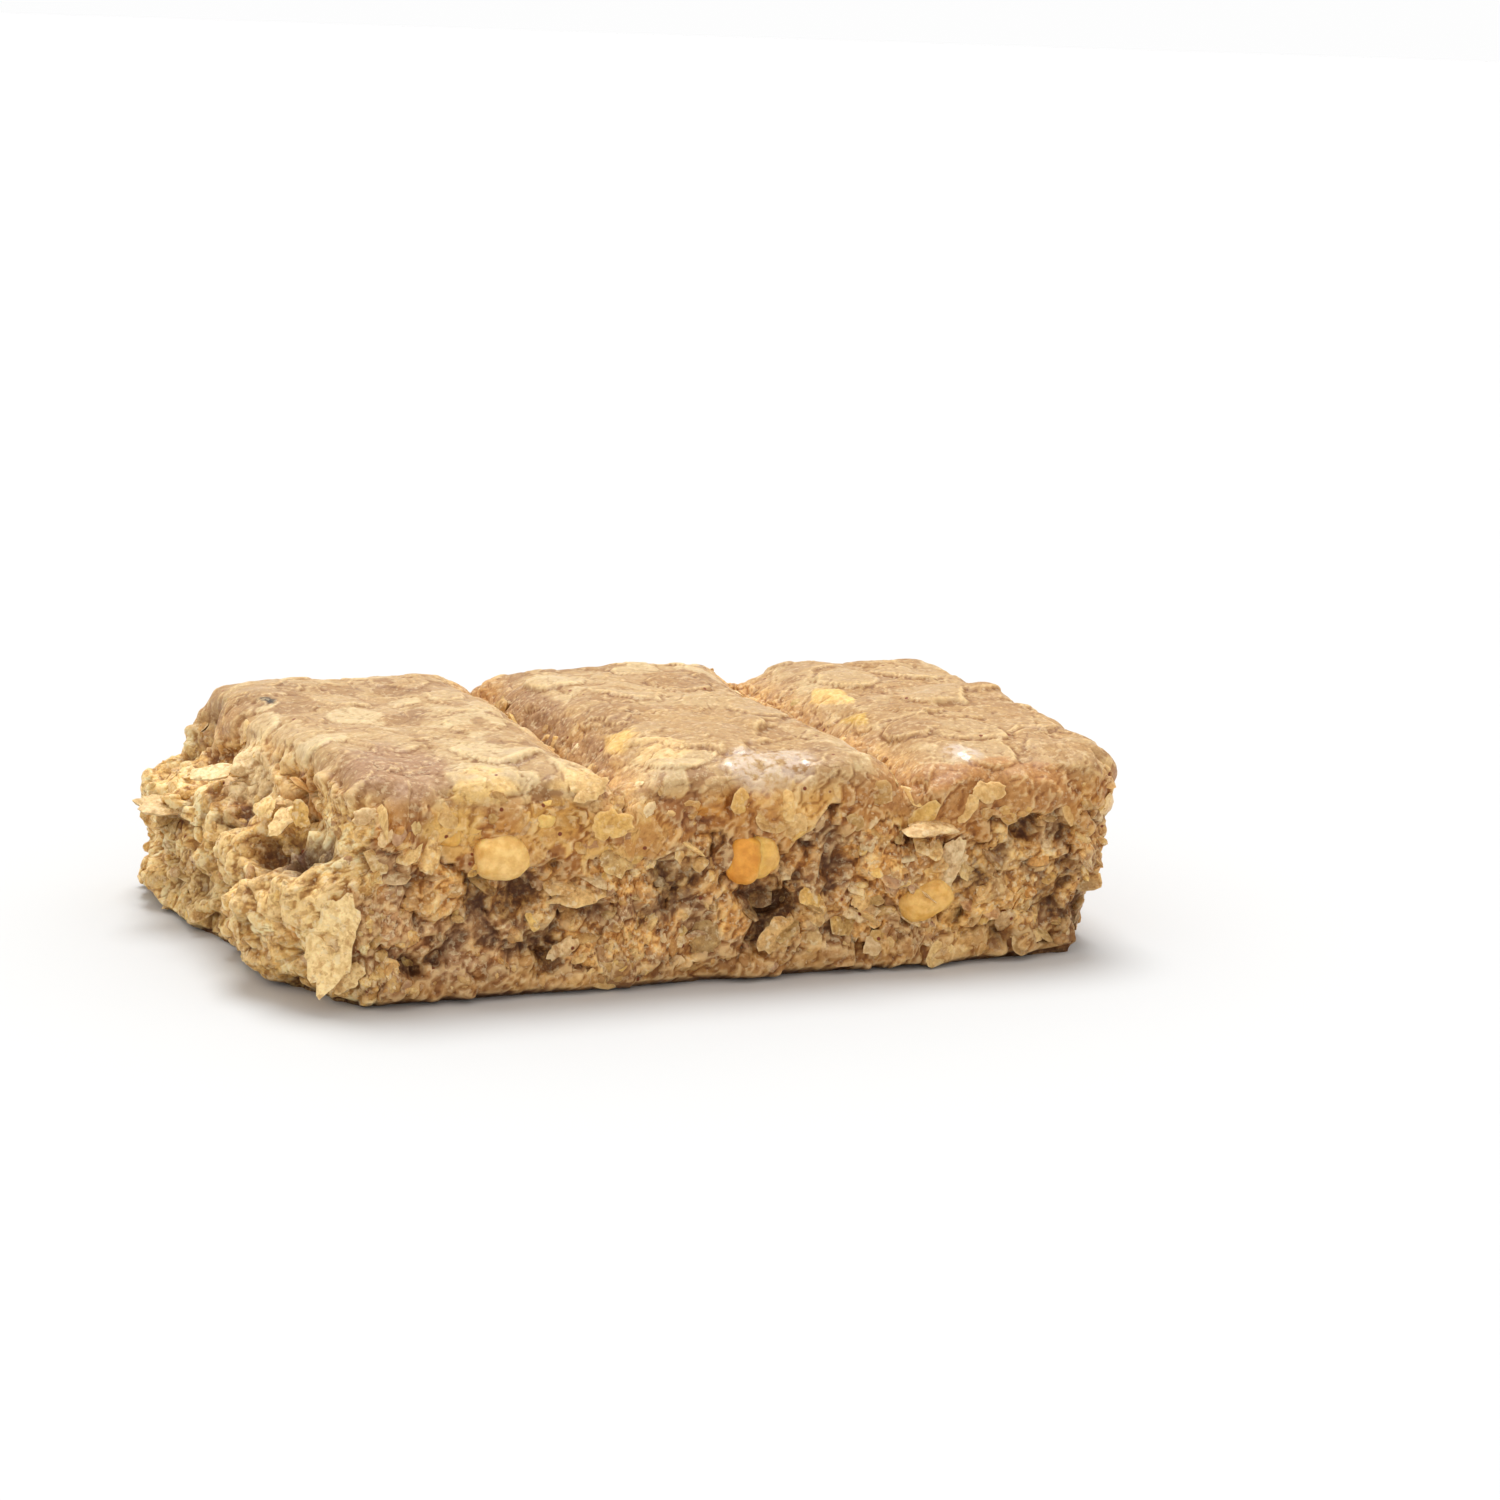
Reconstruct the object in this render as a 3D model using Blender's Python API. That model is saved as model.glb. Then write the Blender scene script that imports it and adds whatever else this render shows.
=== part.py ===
"""Scored oat and nut bar with one end broken off, as a single closed solid.

Three moulded pillows lie side by side along X, with a groove between neighbours. The right end and the two long
sides are the moulded ones: a smooth lip at the top, crumbly oats below it and a compact flat base. The left end is
torn: the mass under the first pillow juts out in crags. Rolled oats and nut pieces are fused to the surface.

Units are metres, +Z is up, and the origin is under the middle of the bar, on the plane it rests on.
"""

import math
from dataclasses import dataclass

import bmesh
import bpy
import numpy as np
from mathutils import Matrix, Vector

MM = 0.001

# Moulded form
PITCH = 22.3 * MM  # mean distance from one groove to the next
MIDDLE_GROOVE_X = -5.6 * MM
MIDDLE_GROOVE_OFF = 0.7 * MM  # how far the middle groove is right of its even place
LAST_PILLOW = 18.8 * MM  # from the last groove to the right end
WIDTH = 38.4 * MM
HEIGHT = 15.9 * MM
PILLOW_RISE = (0.5 * MM, 0.5 * MM, 0.0 * MM)  # each pillow's top over HEIGHT
CROWN = 0.6 * MM  # fall of a pillow from its middle to its long edges
CROWN_POWER = 2.5
GROOVE_DEPTH = 3.9 * MM
GROOVE_FADE = 0.45  # how much shallower a groove is where it runs out at the long edges
GROOVE_FADE_RUN = 7.0 * MM
SHOULDER_RUN = 5.2 * MM  # from a groove's bottom to the pillow's top
SHOULDER_POWER = 1.75  # 1 is a plain V, 2 an elliptic shoulder
GROOVE_SLANT = 0.8 * MM  # how far a groove's near end lies to the right of its far end
GROOVE_WANDER = 0.4 * MM
GROOVE_WAVE = 6.0 * MM  # a wandering groove's wavelength over two pi
GROOVE_PHASE = 2.1  # by which the wander of one groove is ahead of the last
TORN_SHOULDER = 0.7  # depth and run of the outermost groove's shoulder, as a share of the others
TOP_ROUND = 2.8 * MM
TORN_ROUND = 1.2 * MM  # the same round, along the torn end
BASE_ROUND = 0.8 * MM
CORNER_ROUND = 4.4 * MM
TORN_CORNER_ROUND = 1.0 * MM
GROOVES_X = (
    MIDDLE_GROOVE_X - MIDDLE_GROOVE_OFF - PITCH,
    MIDDLE_GROOVE_X,
    MIDDLE_GROOVE_X - MIDDLE_GROOVE_OFF + PITCH,
)
RIGHT_END_X = GROOVES_X[2] + LAST_PILLOW

# Sides: lip, crumbly band and compact base, from top to bottom
LIP_BOTTOM = 10.2 * MM
LIP_WANDER = 1.3 * MM  # how far the lip's ragged lower edge strays
LIP_WAVE = 5.0 * MM
LIP_STEP = 1.4 * MM  # height over which the side steps back under the lip
BASE_TOP = 2.4 * MM
BASE_STEP = 1.0 * MM
SIDE_SHARE = 0.2  # share of the half width over which the draft and recess come in
END_SHARE = 0.15  # and of the half length
CRUMB_RECESS = 0.8 * MM
SIDE_DRAFT = 0.4 * MM
END_DRAFT = 1.3 * MM
END_RECESS = 0.5 * MM  # the crumbly band is set back less at the right end

# Torn left end, measured from the groove that closed the first pillow
TORN_EDGE_X = GROOVES_X[0]
TORN_RUN = 9.0 * MM  # how far into the bar the tear moves the mass
TORN_CUT = 3.4 * MM  # how far the break cuts into the first pillow at its near corner
LEDGE_TOP = 12.0 * MM
LEDGE_FALL = 3.0 * MM
NEAR_REACH = 2.6 * MM  # how far the stub stands out from the cut at the near side
FAR_REACH = 4.6 * MM  # and at the far side
TORN_SLANT_SHARE = 0.82  # share of the width over which the near side's cut runs out
TORN_CORNER_CUT = 2.4 * MM  # how far the tear falls back at its two corners
TORN_CORNER_RUN = 2.6 * MM

# Crags and hollows of the torn end: Y and Z of the middle, radius, and how far each stands out
CRAGS = (
    (-10.5 * MM, 5.6 * MM, 4.2 * MM, 3.2 * MM),
    (-15.5 * MM, 8.2 * MM, 2.6 * MM, 1.2 * MM),
    (-9.0 * MM, 9.6 * MM, 2.3 * MM, -2.6 * MM),
    (0.5 * MM, 3.6 * MM, 2.6 * MM, -1.9 * MM),
    (12.0 * MM, 2.2 * MM, 3.0 * MM, 0.8 * MM),
    (11.0 * MM, 6.0 * MM, 2.0 * MM, -1.3 * MM),
    (10.0 * MM, 8.8 * MM, 2.4 * MM, 1.2 * MM),
    (-16.5 * MM, 1.2 * MM, 3.0 * MM, -1.2 * MM),
)

# Relief of the surface: wavelength and height of each layer of noise
SIDE_RELIEF = ((4.5 * MM, 0.55 * MM), (2.3 * MM, 0.45 * MM))
TORN_RELIEF = ((4.0 * MM, 1.0 * MM), (2.2 * MM, 0.7 * MM))
TOP_RELIEF = ((8.0 * MM, 0.45 * MM), (3.5 * MM, 0.22 * MM))
SIDE_BLEND = 3.0 * MM  # depth under the top over which the sides' relief takes over
TORN_BLEND = 3.0 * MM  # and distance from the torn edge
FLOOR_BLEND = 1.5 * MM  # height over which the relief comes in above the flat base

# Grid of the body: cells along the length, the width and the height
CELLS = (40, 26, 9)

WELD = 0.01 * MM
CLEAN = 0.002 * MM  # shorter edges left by the union are closed up


@dataclass(frozen=True)
class Spread:
    """How one kind of fused piece is spread over one zone of the surface."""

    count: int
    size: float
    spacing: float
    sink: float  # depth of a piece's middle under the surface
    bend: float = 0.0  # of an oat's rim, as a share of its size


# Rolled oats and clots of broken oats fused to the surface
OATS = {
    "top": Spread(16, 5.4 * MM, 6.4 * MM, 0.3 * MM, 0.05),
    "side": Spread(40, 4.4 * MM, 4.4 * MM, 0.8 * MM, 0.12),
    "torn": Spread(12, 4.8 * MM, 4.4 * MM, 0.8 * MM, 0.14),
}
CLOTS = {
    "side": Spread(34, 3.0 * MM, 4.0 * MM, 0.36 * MM),
    "torn": Spread(14, 3.6 * MM, 3.6 * MM, 0.43 * MM),
}
OAT_SIZES = (0.75, 1.15)  # smallest and largest, as a share of the zone's size
OAT_RIM_POINTS = 7
OAT_RIM_STRAY = 0.3  # of a rim point along the rim, as a share of the gap to the next
OAT_RIM = (0.78, 1.1)  # nearest and furthest rim point, as a share of the radius
OAT_NARROWING = 0.18
OAT_THICKNESS = 0.8 * MM
OAT_RIM_THICKNESS = 0.5 * MM
# Which way an oat faces: shares of straight up and of the surface's own way, and the spread about that
OAT_FACING = {"top": (0.0, 1.0, 0.05), "side": (0.75, 0.45, 0.35), "torn": (0.6, 0.0, 0.6)}
TOP_FACING = 0.85  # least upward share of a surface that takes the top's oats
SIDE_FACING = 0.45  # and the most for the sides' pieces
CLOT_SIZES = (0.7, 1.2)
CLOT_FORM = (1.15, 1.0, 0.75)
LUMP_UNEVEN = (-0.12, 0.1)
NUT_TILT = 0.3
FLOOR_GAP = 0.5 * MM  # fused pieces are squashed below this height, clear of the flat base
FLOOR_SQUASH = 0.15
PIECE_FLOOR = 2.2 * MM  # lowest middle of a scattered piece

# Nut pieces: X from the middle groove, Y and Z of the middle, then length, breadth and thickness
NUTS = (
    ((-9.2 * MM, -18.6 * MM, 9.8 * MM), (4.6 * MM, 3.0 * MM, 2.8 * MM)),
    ((9.8 * MM, -18.7 * MM, 9.0 * MM), (4.3 * MM, 3.4 * MM, 3.8 * MM)),
    ((23.2 * MM, -18.5 * MM, 5.2 * MM), (5.0 * MM, 3.0 * MM, 2.8 * MM)),
    ((24.9 * MM, 5.6 * MM, 14.6 * MM), (3.8 * MM, 5.4 * MM, 3.0 * MM)),
    ((35.9 * MM, -16.2 * MM, 7.2 * MM), (2.6 * MM, 3.0 * MM, 3.4 * MM)),
    ((-2.7 * MM, 18.6 * MM, 7.6 * MM), (4.6 * MM, 3.0 * MM, 3.2 * MM)),
    ((18.8 * MM, 18.5 * MM, 8.6 * MM), (4.2 * MM, 3.0 * MM, 3.2 * MM)),
)

# Oats that jut out of the torn end: Y and Z where each is rooted, its length and how it pitches up in degrees
JUTTING_OATS = (
    (11.0 * MM, 7.6 * MM, 5.2 * MM, 6.0),
    (-13.0 * MM, 4.6 * MM, 5.0 * MM, 58.0),
    (-6.0 * MM, 11.0 * MM, 5.8 * MM, 24.0),
    (2.0 * MM, 11.6 * MM, 6.2 * MM, 14.0),
)
JUT_SHARE = 0.1  # how far a jutting oat's middle stands out, as a share of its length

SEED = 20417
BAR_COLOUR = (0.49, 0.30, 0.13, 1.0)
BAR_ROUGHNESS = 0.62


def smooth_step(t):
    """0 below 0, 1 above 1, and the curve 3t^2 - 2t^3 between them."""
    t = np.clip(t, 0.0, 1.0)
    return t * t * (3.0 - 2.0 * t)


def bell(distance, radius):
    """1 at no distance, falling as a Gaussian whose width is the radius."""
    return np.exp(-((distance / radius) ** 2))


def lattice_value(ix, iy, iz, seed):
    """A fixed random number from -1 to 1 for each whole-number point of a lattice."""
    mixed = (ix * 73856093) ^ (iy * 19349663) ^ (iz * 83492791) ^ (seed * 15485863)
    mixed = (mixed ^ (mixed >> 13)) * 1274126177 & 0xFFFFFFFF
    mixed = (mixed ^ (mixed >> 16)) * 668265263 & 0xFFFFFFFF
    return (mixed >> 8 & 0xFFFF) / 32767.5 - 1.0


def noise(points, wavelength, seed):
    """Smooth noise from -1 to 1: lattice values blended by a smooth step along each axis."""
    scaled = points / wavelength
    whole = np.floor(scaled).astype(np.int64)
    part = smooth_step(scaled - whole)
    total = np.zeros(len(points))
    for corner in range(8):
        step = np.array([corner & 1, corner >> 1 & 1, corner >> 2 & 1])
        weight = np.prod(np.where(step, part, 1.0 - part), axis=1)
        total += weight * lattice_value(*(whole + step).T, seed)
    return total


def layered_noise(points, layers, seed):
    """The sum of several layers of noise, each given by its wavelength and height."""
    return sum(
        height * noise(points, wavelength, seed + index)
        for index, (wavelength, height) in enumerate(layers)
    )


def groove_share(x, y):
    """How deep in a groove each place is, from 0 on a pillow to 1 along a groove.

    The two shoulders of a groove are superelliptic curves that meet along it.
    """
    share = np.zeros_like(x)
    for index, groove_x in enumerate(GROOVES_X):
        size = TORN_SHOULDER if index == 0 else 1.0
        middle = groove_x - GROOVE_SLANT * (y / WIDTH + 0.5)
        wander = GROOVE_WANDER * np.sin(y / GROOVE_WAVE + GROOVE_PHASE * index)
        distance = np.abs(x - middle - wander)
        inward = np.clip(1.0 - distance / (size * SHOULDER_RUN), 0.0, 1.0)
        shoulder = (1.0 - inward**SHOULDER_POWER) ** (1.0 / SHOULDER_POWER)
        share = np.maximum(share, size * (1.0 - shoulder))
    return share


def top_height(x, y):
    """Height of the moulded top: crowned pillows with grooves between them, which run out at the long edges."""
    pillow = (x > GROOVES_X[1]).astype(int) + (x > GROOVES_X[2])
    share = groove_share(x, y)
    rise = np.array(PILLOW_RISE)[pillow] * (1.0 - share)
    edge = smooth_step((np.abs(y) - 0.5 * WIDTH + GROOVE_FADE_RUN) / GROOVE_FADE_RUN)
    drop = share * GROOVE_DEPTH * (1.0 - GROOVE_FADE * edge)
    crown = CROWN * np.abs(2.0 * y / WIDTH) ** CROWN_POWER
    return HEIGHT + rise - drop - crown


def torn_reach(y, z):
    """How far the stub stands out to the left of the first pillow's own edge, at each height."""
    across = smooth_step((y + 0.5 * WIDTH) / (TORN_SLANT_SHARE * WIDTH))
    reach = NEAR_REACH + (FAR_REACH - NEAR_REACH) * across
    reach = reach * smooth_step((LEDGE_TOP - z) / LEDGE_FALL) - TORN_CUT * (1.0 - across)
    for crag_y, crag_z, radius, out in CRAGS:
        reach = reach + out * bell(np.hypot(y - crag_y, z - crag_z), radius)
    corner = smooth_step((np.abs(y) - 0.5 * WIDTH + TORN_CORNER_RUN) / TORN_CORNER_RUN)
    return reach - TORN_CORNER_CUT * corner


def round_off(first, second, half, first_radius, second_radius):
    """Rounds a box's edges in the plane of two axes.

    What is past the centres of the rounds goes from a square shell onto an elliptic one.
    """
    past_first = np.maximum(np.abs(first) - (half[0] - first_radius), 0.0)
    past_second = np.maximum(np.abs(second) - (half[1] - second_radius), 0.0)
    share_first, share_second = past_first / first_radius, past_second / second_radius
    size = np.hypot(share_first, share_second)
    reach = np.maximum(share_first, share_second)
    trim = 1.0 - np.divide(reach, size, out=np.ones_like(size), where=size > 0)
    return first - np.sign(first) * past_first * trim, second - np.sign(second) * past_second * trim


def side_weight(points):
    """1 on the sides and the ends, 0 on the top, by the height under the local top."""
    below = top_height(points[:, 0], points[:, 1]) - points[:, 2]
    return smooth_step(below / SIDE_BLEND)


def lip_bottom(x, y):
    """Height of the lip's ragged lower edge along the sides."""
    along = np.stack([x, y, np.zeros_like(x)], axis=1)
    return LIP_BOTTOM + LIP_WANDER * noise(along, LIP_WAVE, SEED + 30)


def mould(unit):
    """Places points of a unit box, -1 to 1 each way, in the bar.

    The top edges are rounded first, then the base edge and the upright corners. The sides take their draft and
    recess, the height is scaled to the pillows, and what is near the left end is drawn out to the torn face.
    """
    half = np.array([0.5 * (RIGHT_END_X - TORN_EDGE_X), 0.5 * WIDTH, HEIGHT])
    points = np.stack([unit[:, 0], unit[:, 1], 0.5 * (unit[:, 2] + 1.0)], axis=1) * half
    torn = points[:, 0] < 0.0

    end_round = np.where(torn, TORN_ROUND, TOP_ROUND)
    x, z = round_off(points[:, 0], points[:, 2], half[[0, 2]], end_round, TOP_ROUND)
    y, z = round_off(points[:, 1], z, half[1:], TOP_ROUND, TOP_ROUND)

    base = np.clip(1.0 - z / BASE_ROUND, 0.0, 1.0)
    inset = BASE_ROUND * (1.0 - np.sqrt(1.0 - base * base))
    x = x * (1.0 - inset / half[0])
    y = y * (1.0 - inset / half[1])

    corner = np.where(torn, TORN_CORNER_ROUND, CORNER_ROUND)
    x, y = round_off(x, y, half[:2], corner, corner)
    x = x + TORN_EDGE_X + half[0]

    edge_y = smooth_step(1.0 - (1.0 - np.abs(unit[:, 1])) / SIDE_SHARE)
    edge_x = smooth_step(1.0 - (1.0 - unit[:, 0]) / END_SHARE)
    band = smooth_step((lip_bottom(x, y) - z) / LIP_STEP) * smooth_step((z - BASE_TOP) / BASE_STEP)
    low = 1.0 - z / HEIGHT
    y = y - np.sign(y) * edge_y * (SIDE_DRAFT * low + CRUMB_RECESS * band)
    x = x - edge_x * (END_DRAFT * low + END_RECESS * band)

    z = z * top_height(x, y) / HEIGHT

    pull = smooth_step(1.0 - (x - TORN_EDGE_X) / TORN_RUN)
    x = x - pull * torn_reach(y, z)
    return np.stack([x, y, z], axis=1)


def roughen(points, normals):
    """Moves points along their normals by the noise of their zone, and leaves the flat base as it is."""
    side = side_weight(points)
    torn = side * smooth_step((TORN_EDGE_X + TORN_BLEND - points[:, 0]) / TORN_BLEND)
    lift = (1.0 - side) * layered_noise(points, TOP_RELIEF, SEED)
    lift += (side - torn) * layered_noise(points, SIDE_RELIEF, SEED + 10)
    lift += torn * layered_noise(points, TORN_RELIEF, SEED + 20)
    lift *= smooth_step(points[:, 2] / FLOOR_BLEND)
    return points + normals * lift[:, None]


def unit_box_faces():
    """Grid points and quads of a unit box's top and four sides, each side's grid sharing the top's edge points."""
    along, across, up = CELLS
    spans = [np.linspace(-1.0, 1.0, count + 1) for count in (along, across, up)]
    points, quads = [], []

    def add_grid(first, second, place, flip):
        """Adds one face of the box, whose points place() works out from two spans."""
        a, b = np.meshgrid(first, second, indexing="ij")
        rows, columns = a.shape
        start = sum(len(block) for block in points)
        points.append(place(a.ravel(), b.ravel()))
        index = start + np.arange(rows * columns).reshape(rows, columns)
        quad = np.stack([index[:-1, :-1], index[1:, :-1], index[1:, 1:], index[:-1, 1:]], axis=-1)
        quad = quad.reshape(-1, 4)
        quads.append(quad[:, ::-1] if flip else quad)

    add_grid(spans[0], spans[1], lambda a, b: np.stack([a, b, np.ones_like(a)], axis=1), False)
    for side in (-1.0, 1.0):
        add_grid(
            spans[0], spans[2], lambda a, b, s=side: np.stack([a, np.full_like(a, s), b], axis=1), side > 0
        )
        add_grid(
            spans[1], spans[2], lambda a, b, s=side: np.stack([np.full_like(a, s), a, b], axis=1), side < 0
        )
    return np.concatenate(points), np.concatenate(quads)


def vertex_normals(mesh):
    """The normals of a mesh's vertices as an array."""
    normals = np.empty(3 * len(mesh.vertices), dtype=np.float32)
    mesh.vertex_normals.foreach_get("vector", normals)
    return normals.reshape(-1, 3).astype(float)


def vertex_places(mesh):
    """The places of a mesh's vertices as an array."""
    places = np.empty(3 * len(mesh.vertices), dtype=np.float32)
    mesh.vertices.foreach_get("co", places)
    return places.reshape(-1, 3).astype(float)


def make_body():
    """The bar without its fused pieces: a moulded box, closed by one flat face at the base."""
    unit, quads = unit_box_faces()
    mesh = bpy.data.meshes.new("oat_bar")
    mesh.from_pydata(mould(unit).tolist(), [], quads.tolist())
    form = bmesh.new()
    form.from_mesh(mesh)
    bmesh.ops.remove_doubles(form, verts=form.verts, dist=WELD)
    rim = [edge for edge in form.edges if edge.is_boundary]
    bmesh.ops.contextual_create(form, geom=rim)
    bmesh.ops.recalc_face_normals(form, faces=form.faces)
    form.to_mesh(mesh)
    form.free()
    rough = roughen(vertex_places(mesh), vertex_normals(mesh))
    mesh.vertices.foreach_set("co", rough.astype(np.float32).ravel())
    triangulate(mesh)
    body = bpy.data.objects.new("oat_bar", mesh)
    bpy.context.scene.collection.objects.link(body)
    return body


def triangulate(mesh):
    """Splits every face of a mesh into triangles."""
    form = bmesh.new()
    form.from_mesh(mesh)
    bmesh.ops.triangulate(form, faces=form.faces)
    form.to_mesh(mesh)
    form.free()
    mesh.update()


def oat_mesh(rng, size, bend):
    """One rolled oat: an uneven disc with a thin bent rim and a thicker middle."""
    count = OAT_RIM_POINTS
    turn = math.tau * (np.arange(count) + rng.uniform(-OAT_RIM_STRAY, OAT_RIM_STRAY, count)) / count
    radius = 0.5 * size * rng.uniform(*OAT_RIM, count)
    radius = radius * (1.0 - OAT_NARROWING * np.abs(np.sin(turn)))
    lift = rng.uniform(-bend, bend, count) * size
    x, y = radius * np.cos(turn), radius * np.sin(turn)
    middle = 0.5 * OAT_THICKNESS
    rim_half = 0.5 * OAT_RIM_THICKNESS
    points = np.concatenate(
        [
            np.stack([x, y, lift + rim_half], axis=1),
            np.stack([x, y, lift - rim_half], axis=1),
            np.array([[0.0, 0.0, middle], [0.0, 0.0, -middle]]),
        ]
    )
    faces = []
    for here in range(count):
        after = (here + 1) % count
        faces.append((here, after, 2 * count))
        faces.append((count + after, count + here, 2 * count + 1))
        faces.append((here, count + here, after))
        faces.append((after, count + here, count + after))
    mesh = bpy.data.meshes.new("oat")
    mesh.from_pydata(points.tolist(), [], faces)
    return mesh


def lump_mesh(rng, name, size, detail):
    """A nut piece or a clot of oats: an uneven ball stretched to its three sizes."""
    form = bmesh.new()
    bmesh.ops.create_icosphere(form, subdivisions=detail, radius=0.5)
    for vertex in form.verts:
        vertex.co *= 1.0 + rng.uniform(*LUMP_UNEVEN)
        vertex.co = Vector([axis * length for axis, length in zip(vertex.co, size)])
    mesh = bpy.data.meshes.new(name)
    form.to_mesh(mesh)
    form.free()
    return mesh


def spread_places(rng, places, allowed, spread):
    """Picks some of the allowed places by a seeded draw, each at least a spacing from the others."""
    chosen = []
    for index in rng.permutation(np.flatnonzero(allowed)):
        gaps = [np.linalg.norm(places[index] - places[other]) for other in chosen]
        if not gaps or min(gaps) >= spread.spacing:
            chosen.append(index)
        if len(chosen) == spread.count:
            break
    return chosen


def facing(normal, spin):
    """A rotation that takes +Z to a normal, after a turn about +Z."""
    turn = Vector(normal).to_track_quat("Z", "Y").to_matrix().to_4x4()
    return turn @ Matrix.Rotation(spin, 4, "Z")


def place_piece(mesh, matrix, collection):
    """Adds a fused piece to the collection, kept clear of the flat base and with its place in its mesh."""
    mesh.transform(matrix)
    for vertex in mesh.vertices:
        over = vertex.co.z - FLOOR_GAP
        vertex.co.z = FLOOR_GAP + max(over, FLOOR_SQUASH * over)
    triangulate(mesh)
    piece = bpy.data.objects.new(mesh.name, mesh)
    collection.objects.link(piece)


def zone_masks(places, normals):
    """Which vertices lie on the top, on the moulded sides and on the torn end, clear of the base."""
    clear = places[:, 2] > PIECE_FLOOR
    torn = clear & (places[:, 0] < TORN_EDGE_X + FLOOR_GAP) & (places[:, 2] < LEDGE_TOP)
    inside = np.abs(places[:, 1]) < 0.5 * WIDTH - 2.0 * TOP_ROUND
    top = inside & (normals[:, 2] > TOP_FACING) & ~torn & (places[:, 2] > LEDGE_TOP)
    side = clear & ~torn & (normals[:, 2] < SIDE_FACING) & (places[:, 2] < HEIGHT - TOP_ROUND)
    return {"top": top, "side": side, "torn": torn}


def oat_normal(rng, zone, normal):
    """Which way an oat faces: with the surface on the top, nearly level in the sides, any way in the tear."""
    upright, outward, spread = OAT_FACING[zone]
    return np.array([0.0, 0.0, upright]) + outward * normal + rng.normal(0.0, spread, 3)


def scatter_oats(rng, places, normals, collection):
    """Spreads rolled oats over the three zones of the body, half sunk in it."""
    masks = zone_masks(places, normals)
    for zone, spread in OATS.items():
        for index in spread_places(rng, places, masks[zone], spread):
            mesh = oat_mesh(rng, spread.size * rng.uniform(*OAT_SIZES), spread.bend)
            turn = facing(oat_normal(rng, zone, normals[index]), rng.uniform(0.0, math.tau))
            middle = Vector(places[index] - normals[index] * spread.sink)
            place_piece(mesh, Matrix.Translation(middle) @ turn, collection)


def scatter_clots(rng, places, normals, collection):
    """Spreads clots of broken oats over the crumbly sides and the torn end."""
    masks = zone_masks(places, normals)
    for zone, spread in CLOTS.items():
        for index in spread_places(rng, places, masks[zone], spread):
            sizes = spread.size * rng.uniform(*CLOT_SIZES, 3) * CLOT_FORM
            mesh = lump_mesh(rng, "clot", sizes, 1)
            turn = Matrix.Rotation(rng.uniform(0.0, math.tau), 4, "Z")
            middle = Vector(places[index] - normals[index] * spread.sink)
            place_piece(mesh, Matrix.Translation(middle) @ turn, collection)


def torn_face_x(y, z):
    """X of the torn face at one place across it."""
    return TORN_EDGE_X - float(torn_reach(np.array([y]), np.array([z]))[0])


def add_jutting_oats(rng, collection):
    """Adds the larger oats that stick out of the torn end."""
    for y, z, length, pitch in JUTTING_OATS:
        mesh = oat_mesh(rng, length, OATS["torn"].bend)
        root = Vector((torn_face_x(y, z) - JUT_SHARE * length, y, z))
        turn = Matrix.Rotation(math.radians(pitch), 4, "Y")
        place_piece(mesh, Matrix.Translation(root) @ turn, collection)


def add_nuts(rng, collection):
    """Adds the nut pieces at their places."""
    for (x, y, z), size in NUTS:
        mesh = lump_mesh(rng, "nut", size, 2)
        turn = Matrix.Rotation(rng.uniform(-NUT_TILT, NUT_TILT), 4, "Y")
        middle = Vector((MIDDLE_GROOVE_X + x, y, z))
        place_piece(mesh, Matrix.Translation(middle) @ turn, collection)


def keep_largest_island(mesh):
    """Drops loose scraps and fills sealed hollows, by keeping only the island with the most faces."""
    form = bmesh.new()
    form.from_mesh(mesh)
    bmesh.ops.remove_doubles(form, verts=form.verts, dist=CLEAN)
    bmesh.ops.dissolve_degenerate(form, edges=form.edges, dist=CLEAN)
    bmesh.ops.triangulate(form, faces=form.faces)
    waiting = set(form.verts)
    islands = []
    while waiting:
        island, edge_of_island = set(), [waiting.pop()]
        while edge_of_island:
            vertex = edge_of_island.pop()
            island.add(vertex)
            linked = {edge.other_vert(vertex) for edge in vertex.link_edges} & waiting
            waiting -= linked
            edge_of_island.extend(linked)
        islands.append(island)
    largest = max(islands, key=len)
    bmesh.ops.delete(form, geom=[vertex for vertex in form.verts if vertex not in largest])
    form.to_mesh(mesh)
    form.free()


def fuse(body, collection):
    """Joins the body and every piece of the collection by one union, then removes the pieces."""
    union = body.modifiers.new("fuse_pieces", "BOOLEAN")
    union.operation = "UNION"
    union.operand_type = "COLLECTION"
    union.collection = collection
    union.solver = "EXACT"
    graph = bpy.context.evaluated_depsgraph_get()
    fused = bpy.data.meshes.new_from_object(body.evaluated_get(graph))
    body.modifiers.remove(union)
    old = body.data
    body.data = fused
    bpy.data.meshes.remove(old)
    fused.name = body.name
    for piece in list(collection.objects):
        bpy.data.objects.remove(piece)
    bpy.data.collections.remove(collection)
    keep_largest_island(fused)


def bar_material():
    """Baked oat and syrup mass, half matt."""
    material = bpy.data.materials.new("oat_mass")
    material.use_nodes = True
    shader = material.node_tree.nodes["Principled BSDF"]
    shader.inputs["Base Color"].default_value = BAR_COLOUR
    shader.inputs["Roughness"].default_value = BAR_ROUGHNESS
    shader.inputs["Metallic"].default_value = 0.0
    return material


def build():
    """Makes the bar from an empty scene."""
    for item in list(bpy.data.objects):
        bpy.data.objects.remove(item)
    rng = np.random.default_rng(SEED)
    body = make_body()
    pieces = bpy.data.collections.new("fused_pieces")
    bpy.context.scene.collection.children.link(pieces)
    places, normals = vertex_places(body.data), vertex_normals(body.data)
    add_nuts(rng, pieces)
    add_jutting_oats(rng, pieces)
    scatter_oats(rng, places, normals, pieces)
    scatter_clots(rng, places, normals, pieces)
    fuse(body, pieces)
    body.data.materials.clear()
    body.data.materials.append(bar_material())


build()
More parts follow.
